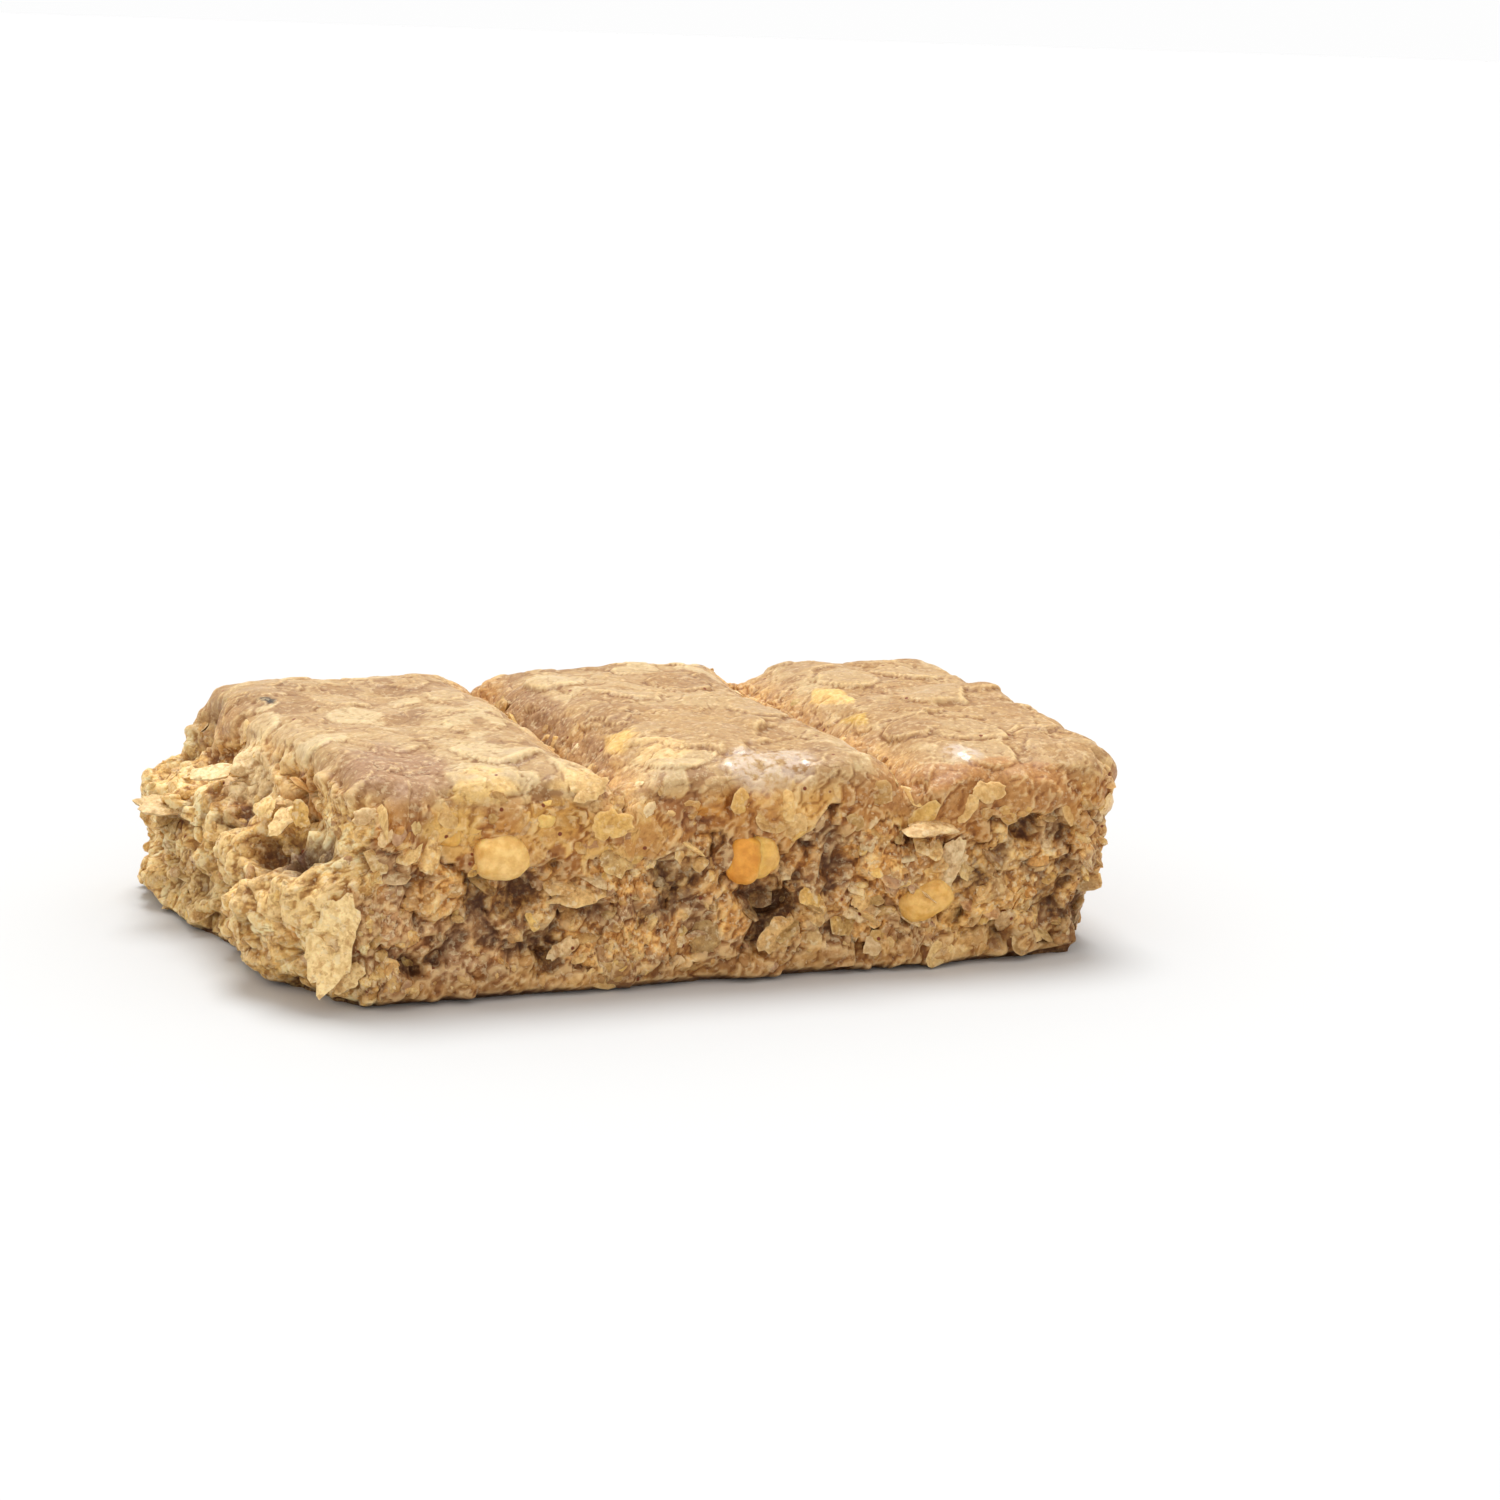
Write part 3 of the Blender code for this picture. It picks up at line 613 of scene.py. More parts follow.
@dataclass(frozen=True)
class Scales:
    """Flakes pressed into the surface that overlap like scales, each lifted along one edge."""

    weight: dict[Zone, float]  # where they lie
    count: int
    half: Range  # least and greatest half length
    height: Range  # least and greatest height of the lifted edge
    narrow: float = 0.65  # least breadth as a share of the length
    low_edge: float = 0.2  # height of the other edge as a share of the lifted edge's
    edge: float = 0.10  # width of the step at the rim, as a share of the half length
    ragged: Waves = ((1.6 * MM, 0.24), (0.7 * MM, 0.12), (0.4 * MM, 0.05))
    smaller: float = 1.6  # power by which small ones are more common
    bent: Range = (3.0, 5.0)  # a scale ends where the surface turns away from its plane, by these two
    placed: tuple[Pressed, ...] = ()

    def relief(self, bed: "Bed", rng: np.random.Generator, layer: int) -> tuple[Array, Array]:
        """Height of the scales: ellipses with ragged rims and tilted faces, of which the highest shows.

        Args:
            bed: The surface that they lie on.
            rng: The seeded draw.
            layer: The first of the noise layers that make the rims ragged.

        Returns:
            The height at each point, and the random number of the scale that shows there.
        """
        weight = sum(share * bed.zones[zone] for zone, share in self.weight.items())
        middle = rng.choice(len(weight), size=self.count, replace=False, p=weight / weight.sum())
        axes = frames_about(bed.normals[middle], rng.uniform(0.0, math.tau, self.count))
        half = self.half[0] + np.ptp(self.half) * rng.uniform(0.0, 1.0, self.count) ** self.smaller
        height = rng.uniform(*self.height, self.count)
        narrow = rng.uniform(self.narrow, 1.0, self.count)
        number = rng.uniform(0.0, 1.0, self.count)
        if self.placed:
            middle = np.append(middle, [bed.nearest(flake.place) for flake in self.placed])
            out = bed.normals[middle[self.count :]]
            side = unit_rows(np.cross(out, [flake.toward for flake in self.placed]))
            axes = np.concatenate([axes, np.stack([np.cross(side, out), side, out], axis=2)])
            half = np.append(half, [flake.half for flake in self.placed])
            height = np.append(height, [flake.height for flake in self.placed])
            narrow = np.append(narrow, [flake.narrow for flake in self.placed])
            number = np.append(number, [flake.tone for flake in self.placed])
        rim = 1.0 + NOISE.layered(bed.places, self.ragged, layer)
        order = np.argsort(bed.places[:, 0])
        along = bed.places[order, 0]
        lift, shown = np.zeros(len(along)), np.full(len(along), 0.5)
        for index, point in enumerate(middle):
            reach = 1.3 * half[index]
            x = bed.places[point, 0]
            first, last = np.searchsorted(along, (x - reach, x + reach))
            near = order[first:last]
            offset = (bed.places[near] - bed.places[point]) @ axes[index] / half[index]
            distance = rim[near] * np.hypot(offset[:, 0], offset[:, 1] / narrow[index])
            inside = smooth_step((1.0 - distance) / self.edge)
            inside *= smooth_step(self.bent[0] - self.bent[1] * np.abs(offset[:, 2]))
            face = self.low_edge + (1.0 - self.low_edge) * (0.5 + 0.5 * offset[:, 0])
            value = height[index] * np.clip(face, 0.0, 1.2) * inside
            higher = value > lift[near]
            lift[near] = np.where(higher, value, lift[near])
            shown[near] = np.where(higher, number[index], shown[near])
        return lift * smooth_step(2.0 * weight), shown


SWELLS = tuple(
    Swell(mm(x, y, z), radius * MM, height * MM)
    for x, y, z, radius, height in (
        (5.3, -19.2, 5.5, 1.3, -2.2),
        (11.0, -18.2, 7.5, 1.1, -1.5),
        (10.0, -18.5, 9.9, 0.9, -1.2),
        (16.6, -19.1, 9.8, 0.9, -1.4),
        (22.2, -18.7, 7.4, 1.1, -1.2),
        (23.8, -19.0, 2.0, 0.8, -1.0),
        (-1.0, -18.9, 7.9, 1.0, -1.3),
        (-3.0, -18.9, 8.1, 0.8, -1.0),
        (-8.4, -18.0, 6.0, 1.0, -1.3),
        (-13.2, -18.2, 7.7, 1.0, -1.2),
        (-11.6, -18.4, 2.9, 0.7, -0.9),
        (29.4, -17.8, 10.0, 1.3, -0.9),
        (30.4, -16.8, 4.0, 1.3, -0.9),
        (31.2, -17.4, 1.0, 3.0, -1.7),
        (-30.6, 14.0, 13.6, 2.8, -1.6),
        (-28.2, -13.8, 10.2, 1.7, -3.2),
        (-26.8, -16.0, 10.7, 1.2, -1.8),
        (-34.2, 6.5, 6.0, 1.8, -1.2),
        (31.4, 2.0, 15.2, 3.0, 0.4),
        (19.1, 3.6, 15.7, 1.7, 0.5),
        (18.4, -3.0, 15.1, 1.2, 0.4),
        (31.8, -6.0, 15.0, 3.0, 0.5),
        (-27.6, -9.8, 9.8, 1.6, -1.6),
        (-29.4, -2.6, 10.2, 1.8, -1.6),
        (-32.0, 2.4, 9.6, 1.3, -1.6),
        (-31.2, -5.4, 4.6, 1.8, -2.0),
        (-27.2, -16.8, 7.8, 2.2, 1.0),
        (-30.4, -12.2, 5.6, 2.2, 1.2),
        (-28.6, -6.6, 12.0, 1.4, 0.9),
        (-29.4, 1.6, 12.4, 1.9, 1.0),
        (-32.2, -3.4, 7.6, 1.6, 0.7),
    )
)
STAINS = tuple(
    Stain(mm(x, y, z), mm(along, across, up), tint, share)
    for x, y, z, along, across, up, tint, share in (
        (6.0, -2.0, 16.0, 10.0, 20.0, 2.6, Tint.SKIN, 0.5),
        # the third pillow's skin is stained darker: partly its own tone, partly painted shade
        (27.0, -3.0, 16.0, 12.0, 24.0, 2.6, Tint.SKIN, 0.62),
        (-20.8, -14.2, 15.6, 4.6, 6.4, 2.4, Tint.CLAY, 0.8),
        (-15.8, -17.4, 15.0, 3.0, 2.8, 1.5, Tint.STRAW, 0.55),
        (-8.6, -17.9, 15.0, 2.8, 1.6, 1.2, Tint.CREAM, 0.7),
        (-29.2, 0.8, 12.4, 4.2, 7.6, 2.2, Tint.PALE, 0.9),
        (-31.9, -3.6, 8.2, 3.8, 4.6, 3.2, Tint.CREAM, 0.85),
        (-30.0, -4.0, 12.4, 5.0, 9.0, 2.4, Tint.CREAM, 0.45),
        (-32.3, 4.4, 2.8, 3.5, 8.0, 3.0, Tint.OLIVE, 0.55),
        (-18.5, -18.4, 4.0, 6.5, 3.0, 3.6, Tint.MAUVE, 0.45),
        (-2.8, -8.8, 15.6, 1.5, 3.4, 1.4, Tint.STRAW, 0.7),
        (-18.2, -18.6, 12.6, 3.4, 2.0, 1.5, Tint.STRAW, 0.6),
        (-10.8, -18.9, 12.7, 3.0, 2.0, 1.4, Tint.YELLOW, 0.45),
        (0.3, -18.8, 13.1, 1.0, 1.5, 0.8, Tint.ORANGE, 0.45),
        (28.0, -12.0, 15.0, 6.0, 2.0, 1.2, Tint.STRAW, 0.4),
        # painted shade where the moulded end's corner turns away from the light
        (32.0, -15.8, 7.0, 2.6, 4.0, 6.0, Tint.PAINTED_SHADE, 0.45),
        (21.0, -18.6, 13.2, 11.0, 3.2, 3.2, Tint.RUSSET, 0.85),
        (-23.6, -19.0, 5.0, 4.0, 2.6, 5.0, Tint.MAUVE, 0.55),
        (22.0, -19.0, 5.5, 8.0, 2.5, 4.5, Tint.STRAW, 0.22),
        # painted shade in the torn end's hollow under the shelf
        (-28.2, -13.6, 10.2, 3.6, 3.8, 1.5, Tint.PAINTED_SHADE, 0.9),
        # painted shade under the lip's overhang and about the hollows below it
        (0.0, -19.0, 8.6, 5.0, 2.6, 2.0, Tint.PAINTED_SHADE, 0.3),
        (8.6, -19.0, 6.4, 3.2, 2.6, 2.4, Tint.PAINTED_SHADE, 0.3),
        (-10.0, -19.0, 5.4, 3.4, 2.6, 1.8, Tint.PAINTED_SHADE, 0.25),
        (-29.0, -2.4, 10.2, 2.4, 3.0, 1.1, Tint.RUSSET, 0.7),
        (-31.0, 13.0, 13.4, 3.0, 6.0, 2.0, Tint.TAN, 0.6),
        (-28.8, -15.6, 7.4, 3.4, 4.4, 2.0, Tint.CREAM, 0.75),
        (-27.6, -8.4, 11.2, 2.2, 2.4, 1.8, Tint.STRAW, 0.8),
        (-27.0, -9.6, 9.9, 1.2, 1.4, 0.9, Tint.ORANGE, 0.6),
        (-28.2, -15.4, 5.0, 1.4, 1.4, 1.2, Tint.ORANGE, 0.5),
        # painted shade on the middle groove's right wall
        (-4.6, 5.0, 14.4, 2.0, 10.0, 2.8, Tint.PAINTED_SHADE, 0.75),
        (-4.6, -6.5, 13.8, 2.0, 6.0, 2.4, Tint.PAINTED_SHADE, 0.6),
        (-1.0, -13.4, 16.0, 2.4, 3.0, 2.0, Tint.CREAM, 0.5),
        (26.4, -10.6, 15.8, 2.6, 2.8, 2.0, Tint.CREAM, 0.5),
        (23.2, -14.6, 15.4, 2.0, 1.8, 1.6, Tint.CREAM, 0.5),
        (30.2, -6.0, 15.4, 1.8, 4.6, 2.0, Tint.STRAW, 0.4),
        (21.6, -1.0, 16.2, 2.2, 3.0, 1.6, Tint.CREAM, 0.35),
        (26.0, 6.0, 16.0, 3.4, 5.0, 1.6, Tint.TAN, 0.4),
        (19.1, 3.6, 15.7, 2.1, 3.6, 1.6, Tint.STRAW, 0.75),
        (18.4, -3.0, 15.1, 1.3, 2.6, 1.4, Tint.GREENISH, 0.8),
        (-25.6, 7.6, 16.3, 0.7, 1.2, 0.7, Tint.CHARRED, 1.0),
    )
)


@dataclass(frozen=True)
class OatMass:
    """The pressed mass of oats and syrup: the whole bar as one closed surface of packed grain."""

    form: BarForm
    cells: tuple[int, int, int] = (292, 138, 66)  # of the grid: along the length, the width and the height
    clumps: Grain = Grain(3.2 * MM, 0.34 * MM, 0.55 * MM, 0.15, 0.50 * MM, Layer.CLUMPS)
    grains: Grain = Grain(1.6 * MM, 0.20 * MM, 0.38 * MM, 0.20, 0.30 * MM, Layer.GRAINS)
    lumps: Waves = (mm(2.8, 0.30), mm(1.3, 0.15), mm(0.6, 0.04))
    crumbling: Waves = (mm(1.5, 0.40), mm(0.75, 0.24), mm(0.42, 0.12))
    skin_scales: Scales = Scales(
        {Zone.TOP: 1.0, Zone.LIP: 1.2},
        620,
        mm(1.0, 3.2),
        mm(0.08, 0.32),
        edge=0.14,
        ragged=((2.2 * MM, 0.28), (0.9 * MM, 0.10)),
        placed=PRESSED_FLAKES,
    )
    side_scales: Scales = Scales(
        {Zone.CRUMB: 1.0, Zone.TORN: 1.1, Zone.GROOVE: 0.2, Zone.BASE: 0.6},
        860,
        mm(0.9, 2.6),
        mm(0.3, 1.0),
        edge=0.16,
    )
    small_scales: Scales = Scales(
        {Zone.TORN: 1.0, Zone.CRUMB: 0.3, Zone.BASE: 0.2},
        1100,
        mm(0.5, 1.4),
        mm(0.15, 0.55),
        edge=0.2,
    )
    undercut: float = 0.7 * MM  # how far the base's edge draws in at the floor
    # Below this height the base's edge is fully drawn in and painted in shade; both fade over the rise.
    undercut_floor: float = 0.15 * MM
    undercut_rise: float = 0.6 * MM
    lip_rag: float = 1.2 * MM  # how far the lip's lower edge strays besides, in short waves
    lip_rag_wave: float = 1.9 * MM
    groove_shade: float = 0.4  # how deep in shade the bottoms of the grooves are painted
    column_blur: float = 2.4 * MM
    column_pull: float = 1.6  # how much closer together the columns lie where the top is steep
    evening: int = 30  # steps that even out the grid where the form has stretched it
    skin_drop: float = 0.4 * MM  # how far below the top the smooth skin begins to end, and over which height
    skin_blend: float = 2.4 * MM
    relax_share: float = 0.3  # of the way to its neighbours' middle that each place moves at last
    relax_blend: float = 0.5 * MM
    fray_run: float = 2.0 * MM  # how far the torn surface reaches along the far side
    fray_more: float = 1.5  # how much further it reaches along the near side, as a share of that
    fray_from: float = 4.0 * MM
    fray_slope: float = 12.0 * MM
    fray_edge: float = 1.0 * MM
    crumb_edge: float = 0.5 * MM  # heights and lengths over which one kind of surface passes into another
    base_edge: float = 0.8 * MM
    groove_edge: float = 1.6
    coarse_jag: Lengths = mm(1.6, 0.4)  # size and reach of the noise that makes the grain's borders jagged
    fine_jag: Lengths = mm(0.6, 0.12)
    wander: Lengths = mm(1.1, 0.6)  # and of the noise that bends the borders of hollows and stains
    crumbly: float = 0.35  # how strongly the crumb crumbles, as a share of the tear
    rim_calm: float = 0.45  # share of its relief that the tear loses at its upper rim
    rim_run: float = 1.5 * MM
    torn_looseness: float = 0.8  # how loose the tear is, as a share of the crumb
    floor_blend: float = 0.8 * MM
    end_run: float = 2.0 * MM  # length of the moulded end
    lost_size: float = 2.2 * MM
    lost_share: float = 0.02  # of the crumb's grains are missing, and leave hollows
    lost_depth: float = 0.9 * MM
    lost_edge: float = 0.5
    shade_from: float = 0.25 * MM  # depth at which the painted shade begins, and over which it deepens
    shade_run: float = 1.2 * MM
    # how dark the hollows are painted in shade at least
    hollow_shade: float = 0.85
    bottom_from: float = 0.6  # a groove's bottom is what lies deeper than this
    high_run: float = 1.0 * MM  # lift over which a crag is painted pale, as a painted highlight
    groove_crumb: float = 0.6  # share of the crumb's colour in the grooves
    edge_scale: float = 0.05 * MM  # how far a sharp ridge stands out
    samples: int = 2001  # of the profile that spaces the columns
    crease: float = 75.0
    swells: tuple[Swell, ...] = SWELLS
    stains: tuple[Stain, ...] = STAINS
    # Patches of syrup, whose height is their shine: a real coat and a painted sheen in the colour
    glosses: tuple[Swell, ...] = (
        Swell(mm(4.0, -17.2, 15.2), 2.3 * MM, 1.0),
        Swell(mm(7.6, -16.8, 15.2), 2.2 * MM, 1.0),
        Swell(mm(21.5, -15.7, 15.3), 1.6 * MM, 1.0),
        Swell(mm(13.5, -14.0, 15.6), 1.6 * MM, 0.6),
    )

    def columns(self) -> Array:
        """Where the grid's columns lie along the unit box, from -1 to 1.

        They are even along a profile whose rise and fall is that of the top, made steeper and blurred across
        the grooves' slant, so that they lie closer together in the grooves.

        Returns:
            One place for each column.
        """
        along = np.linspace(-1.0, 1.0, self.samples)
        half = 0.5 * (self.form.right_end_x - self.form.torn_edge_x)
        x = self.form.torn_edge_x + half * (along + 1.0)
        slope = np.abs(np.gradient(self.form.top_height(x, np.zeros_like(x)), x))
        width = int(self.column_blur / (x[1] - x[0]))
        slope = np.convolve(slope, np.full(width, 1.0 / width), mode="same")
        run = np.cumsum(np.hypot(1.0, self.column_pull * slope))
        run = (run - run[0]) / (run[-1] - run[0])
        return np.interp(np.linspace(0.0, 1.0, self.cells[0] + 1), run, along)

    def unit_box(self) -> tuple[Array, list[list[int]]]:
        """The top and the four sides of a unit box as one welded grid, closed by a flat base.

        Each side is a grid of two of the box's axes at the third axis' end. Equal points are made one.

        Returns:
            The grid's points, and its faces.
        """
        spans = [self.columns(), *(np.linspace(-1.0, 1.0, count + 1) for count in self.cells[1:])]
        blocks, quads, start = [], [], 0
        for axis, side in ((2, 1.0), (1, -1.0), (1, 1.0), (0, -1.0), (0, 1.0)):
            first, second = (other for other in range(3) if other != axis)
            a, b = np.meshgrid(spans[first], spans[second], indexing="ij")
            block = np.full((a.size, 3), side)
            block[:, first], block[:, second] = a.ravel(), b.ravel()
            index = start + np.arange(a.size).reshape(a.shape)
            outward = side > 0.0 if axis != 1 else side < 0.0
            quads.append(grid_quads(index)[:, :: 1 if outward else -1])
            blocks.append(block)
            start += a.size
        places, index = np.unique(np.round(np.concatenate(blocks), 9), axis=0, return_inverse=True)
        faces = index.reshape(-1)[np.concatenate(quads)].tolist()
        rim = np.flatnonzero(places[:, 2] < -1.0 + 1e-9)
        turn = np.arctan2(places[rim, 1], places[rim, 0])
        faces.append(rim[np.argsort(-turn)].tolist())
        return places, faces

    def zones(self, points: Array, cells: Cells) -> dict[Zone, Array]:
        """How far each point belongs to each kind of surface. The shares of a point add up to 1.

        The lip ends and the crumb begins at the borders of whole grains, by the height of a grain's middle.

        Args:
            points: Places on the surface.
            cells: The grains that they lie in.

        Returns:
            One share for each point, by zone.
        """
        form = self.form
        below = form.top_height(points[:, 0], points[:, 1]) - points[:, 2]
        side = smooth_step((below - self.skin_drop) / self.skin_blend)
        torn = side * smooth_step((form.torn_edge_x + form.torn_blend - points[:, 0]) / form.torn_blend)
        under = form.lip_height(cells.centre[:, 0], cells.centre[:, 1]) - cells.centre[:, 2]
        under += self.lip_rag * NOISE.smooth(points, self.lip_rag_wave, Layer.LIP_RAG)
        crumb = smooth_step(under / self.crumb_edge + 0.5)
        base = smooth_step((form.base_top - cells.centre[:, 2]) / self.base_edge + 0.5)
        groove = smooth_step(self.groove_edge * form.groove_share(points[:, 0], points[:, 1]))
        near = smooth_step(-(cells.centre[:, 1] + self.fray_from) / self.fray_slope)
        fray = form.torn_edge_x + self.fray_run * (1.0 + self.fray_more * near) - cells.centre[:, 0]
        torn = np.maximum(torn, side * smooth_step(fray / self.fray_edge + 0.5))
        wall = side * (1.0 - torn)
        return {
            Zone.TOP: (1.0 - side) * (1.0 - groove),
            Zone.GROOVE: (1.0 - side) * groove,
            Zone.LIP: wall * (1.0 - crumb),
            Zone.CRUMB: wall * crumb * (1.0 - base),
            Zone.BASE: wall * crumb * base,
            Zone.TORN: torn,
        }

    def relief(self, points: Array, normals: Array, rng: np.random.Generator) -> "Surface":
        """Works out the grain's relief: grains and cracks, lumps, flakes, lost grains, swells and recesses.

        Args:
            points: Places on the smooth surface.
            normals: The way out at each.
            rng: The seeded draw.

        Returns:
            What is known of each point.
        """
        jagged = NOISE.warped(points, *self.coarse_jag, Layer.COARSE_JAG)
        jagged = NOISE.warped(jagged, *self.fine_jag, Layer.FINE_JAG)
        wandering = NOISE.warped(jagged, *self.wander, Layer.WANDER)
        clump, clump_gap, clump_cells = self.clumps.relief(jagged)
        grain, grain_gap, grain_cells = self.grains.relief(jagged)
        zones = self.zones(points, grain_cells)
        bare = Bed(points, normals, zones, {})
        skin, skin_number = self.skin_scales.relief(bare, rng, Layer.SKIN_SCALES)
        flake, flake_number = self.side_scales.relief(bare, rng, Layer.SIDE_SCALES)
        chip, chip_number = self.small_scales.relief(bare, rng, Layer.SMALL_SCALES)
        skin_share = zones[Zone.TOP] + zones[Zone.LIP]
        number = skin_share * skin_number + (1.0 - skin_share) * (0.5 * flake_number + 0.5 * chip_number)

        lift = sum(zone.relief * weight for zone, weight in zones.items()) * (clump + grain)
        lift -= sum(zone.cracks * weight for zone, weight in zones.items()) * (clump_gap + grain_gap)
        lumps = NOISE.layered(jagged, self.lumps, Layer.LUMPS)
        lift += sum(zone.lumps * weight for zone, weight in zones.items()) * lumps
        crumbs = NOISE.layered(jagged, self.crumbling, Layer.CRUMBLING)
        lift += (zones[Zone.TORN] + self.crumbly * zones[Zone.CRUMB]) * crumbs
        lift += skin + flake + chip
        calm = self.rim_calm * zones[Zone.TORN]
        lift *= 1.0 - calm * smooth_step((points[:, 2] - self.form.ledge_top) / self.rim_run)
        lift -= sum(zone.back * weight for zone, weight in zones.items())
        loose = zones[Zone.CRUMB] + self.torn_looseness * zones[Zone.TORN]
        lost = NOISE.cells(jagged, self.lost_size, Layer.LOST_GRAINS)
        is_lost = lost.number < 2.0 * self.lost_share - 1.0
        hollow = loose * is_lost * smooth_step(lost.gap / self.lost_edge)
        lift -= self.lost_depth * hollow
        for swell in self.swells:
            near = bell(np.linalg.norm(wandering - swell.place, axis=1), swell.radius)
            lift += swell.height * near
            hollow = np.maximum(hollow, near * (swell.height < 0.0))
        is_end = points[:, 0] > self.form.right_end_x - self.end_run
        lift -= np.where(is_end, self.form.end_recess, self.form.crumb_recess) * zones[Zone.CRUMB]
        # Under the base's edge: drawn in, and painted in shade as a contact shadow.
        under = 1.0 - smooth_step((points[:, 2] - self.undercut_floor) / self.undercut_rise)
        tones = np.stack([number, 0.5 + 0.5 * grain_cells.number, 0.5 + 0.5 * clump_cells.number], axis=1)
        return Surface(points, normals, jagged, wandering, zones, lift, loose, hollow, under, tones)

    def settle(self, mesh: bpy.types.Mesh, surface: "Surface") -> None:
        """Lifts the mesh along its normals, draws the base's edge in and relaxes all but the floor.

        Args:
            mesh: The mesh of the smooth surface.
            surface: What is known of each of its points.
        """
        points, normals, lift = surface.points, surface.normals, surface.lift
        moved = points + normals * lift[:, None]
        moved[:, 2] -= normals[:, 2] * lift * (1.0 - smooth_step(points[:, 2] / self.floor_blend))
        moved[:, :2] -= self.undercut * (unit_rows(normals[:, :2]) * surface.under[:, None])
        set_places(mesh, moved)
        above = smooth_step(moved[:, 2:] / self.relax_blend)
        moved += self.relax_share * (neighbour_middle(mesh) - moved) * above
        set_places(mesh, moved)

    def paint(self, mesh: bpy.types.Mesh, surface: "Surface") -> dict[str, Array]:
        """What the finish reads at each point.

        Args:
            mesh: The finished mesh.
            surface: What is known of each of its points.

        Returns:
            Rows of three numbers by attribute: shares of the zones, tones, and painted shade, edge and gloss.
        """
        zones, lift, loose = surface.zones, surface.lift, surface.loose
        # Painted shade: the loose crumb's deep hollows, the lost grains' and swells' hollows, the grooves'
        # bottoms and the undercut at the floor are painted dark.
        deep = smooth_step((-lift - self.shade_from) / self.shade_run) * loose
        groove = self.form.groove_share(surface.points[:, 0], surface.points[:, 1])
        bottom = smooth_step((groove - self.bottom_from) / (1.0 - self.bottom_from))
        deep = np.maximum(deep, self.groove_shade * bottom * zones[Zone.GROOVE])
        deep = np.maximum(np.maximum(deep, self.hollow_shade * surface.hollow), surface.under)
        # Painted highlight: high crags of the loose crumb are painted pale.
        high = smooth_step(lift / self.high_run) * loose
        gloss = sum(
            patch.height * bell(np.linalg.norm(surface.jagged - patch.place, axis=1), patch.radius)
            for patch in self.glosses
        )
        crumb = zones[Zone.CRUMB] + self.groove_crumb * zones[Zone.GROOVE]
        return {
            # The spread's third channel is the painted highlight on crags; the relief attribute holds the
            # painted shade, the edge by which ridges are painted lighter and creases darker, and the gloss.
            "zone": np.stack([crumb, zones[Zone.TORN], zones[Zone.TOP]], axis=1),
            "spread": np.stack([zones[Zone.LIP], zones[Zone.BASE], high], axis=1),
            "grain": surface.tones,
            "relief": np.stack([deep, mesh_edges(mesh, self.edge_scale), gloss], axis=1),
        }

    def stain(self, points: Array) -> Array:
        """The stains' colour and strength at each point: those of the stain that covers it most.

        Args:
            points: Places on the surface.

        Returns:
            Red, green, blue and the strength for each point.
        """
        tint = np.zeros((len(points), 4))
        for stain in self.stains:
            cover = stain.cover(points)[:, None]
            tint[:, :3] = np.where(cover > tint[:, 3:], stain.tint.value, tint[:, :3])
            tint[:, 3:] = np.maximum(tint[:, 3:], cover)
        return tint

    def build(self, rng: np.random.Generator) -> tuple[bpy.types.Object, "Bed"]:
        """Builds the mass: the moulded box, its smooth relief, then the grain along the new normals.

        Args:
            rng: The seeded draw.

        Returns:
            The piece, with the attributes that its finish reads, and its surface as a bed for other pieces.
        """
        unit, faces = self.unit_box()
        mesh = bpy.data.meshes.new("bar_mass")
        mesh.from_pydata(self.form.mould(unit).tolist(), [], faces)
        set_places(mesh, self.form.roughen(mesh_places(mesh), mesh_normals(mesh)))
        even_out(mesh, self.evening)
        surface = self.relief(mesh_places(mesh), mesh_normals(mesh), rng)
        self.settle(mesh, surface)
        paint = self.paint(mesh, surface)
        for name, rows in paint.items():
            set_colours(mesh, name, *rows.T)
        set_colours(mesh, "tint", *self.stain(surface.wandering).T)
        del paint["grain"]
        bed = Bed(mesh_places(mesh), mesh_normals(mesh), surface.zones, paint)
        return new_piece("bar_mass", mesh, self.crease), bed


def mesh_places(mesh: bpy.types.Mesh) -> Array:
    """The places of a mesh's vertices, one a row."""
    places = np.empty(3 * len(mesh.vertices), dtype=np.float32)
    mesh.vertices.foreach_get("co", places)
    return places.reshape(-1, 3).astype(float)


def mesh_normals(mesh: bpy.types.Mesh) -> Array:
    """The normals of a mesh's vertices, one a row."""
    normals = np.empty(3 * len(mesh.vertices), dtype=np.float32)
    mesh.vertex_normals.foreach_get("vector", normals)
    return normals.reshape(-1, 3).astype(float)


def neighbour_middle(mesh: bpy.types.Mesh) -> Array:
    """The middle of the places that each vertex shares an edge with, one a row."""
    pairs = np.empty(2 * len(mesh.edges), dtype=np.int32)
    mesh.edges.foreach_get("vertices", pairs)
    first, second = pairs.reshape(-1, 2).T
    places, count = mesh_places(mesh), len(mesh.vertices)
    ends = np.concatenate([first, second]), np.concatenate([second, first])
    number = np.maximum(np.bincount(ends[0], minlength=count), 1)
    total = np.stack([np.bincount(ends[0], places[ends[1], axis], count) for axis in range(3)], axis=1)
    return total / number[:, None]


def even_out(mesh: bpy.types.Mesh, steps: int, floor: float = 0.3 * MM) -> None:
    """Slides vertices along the surface toward the middle of their neighbours, but for those on the floor.

    Args:
        mesh: The mesh.
        steps: How many times each vertex moves half of the way.
        floor: The height below which they stay.
    """
    for _ in range(steps):
        places, normals = mesh_places(mesh), mesh_normals(mesh)
        toward = neighbour_middle(mesh) - places
        toward -= normals * np.sum(toward * normals, axis=1)[:, None]
        set_places(mesh, places + 0.5 * toward * (places[:, 2:] > floor))


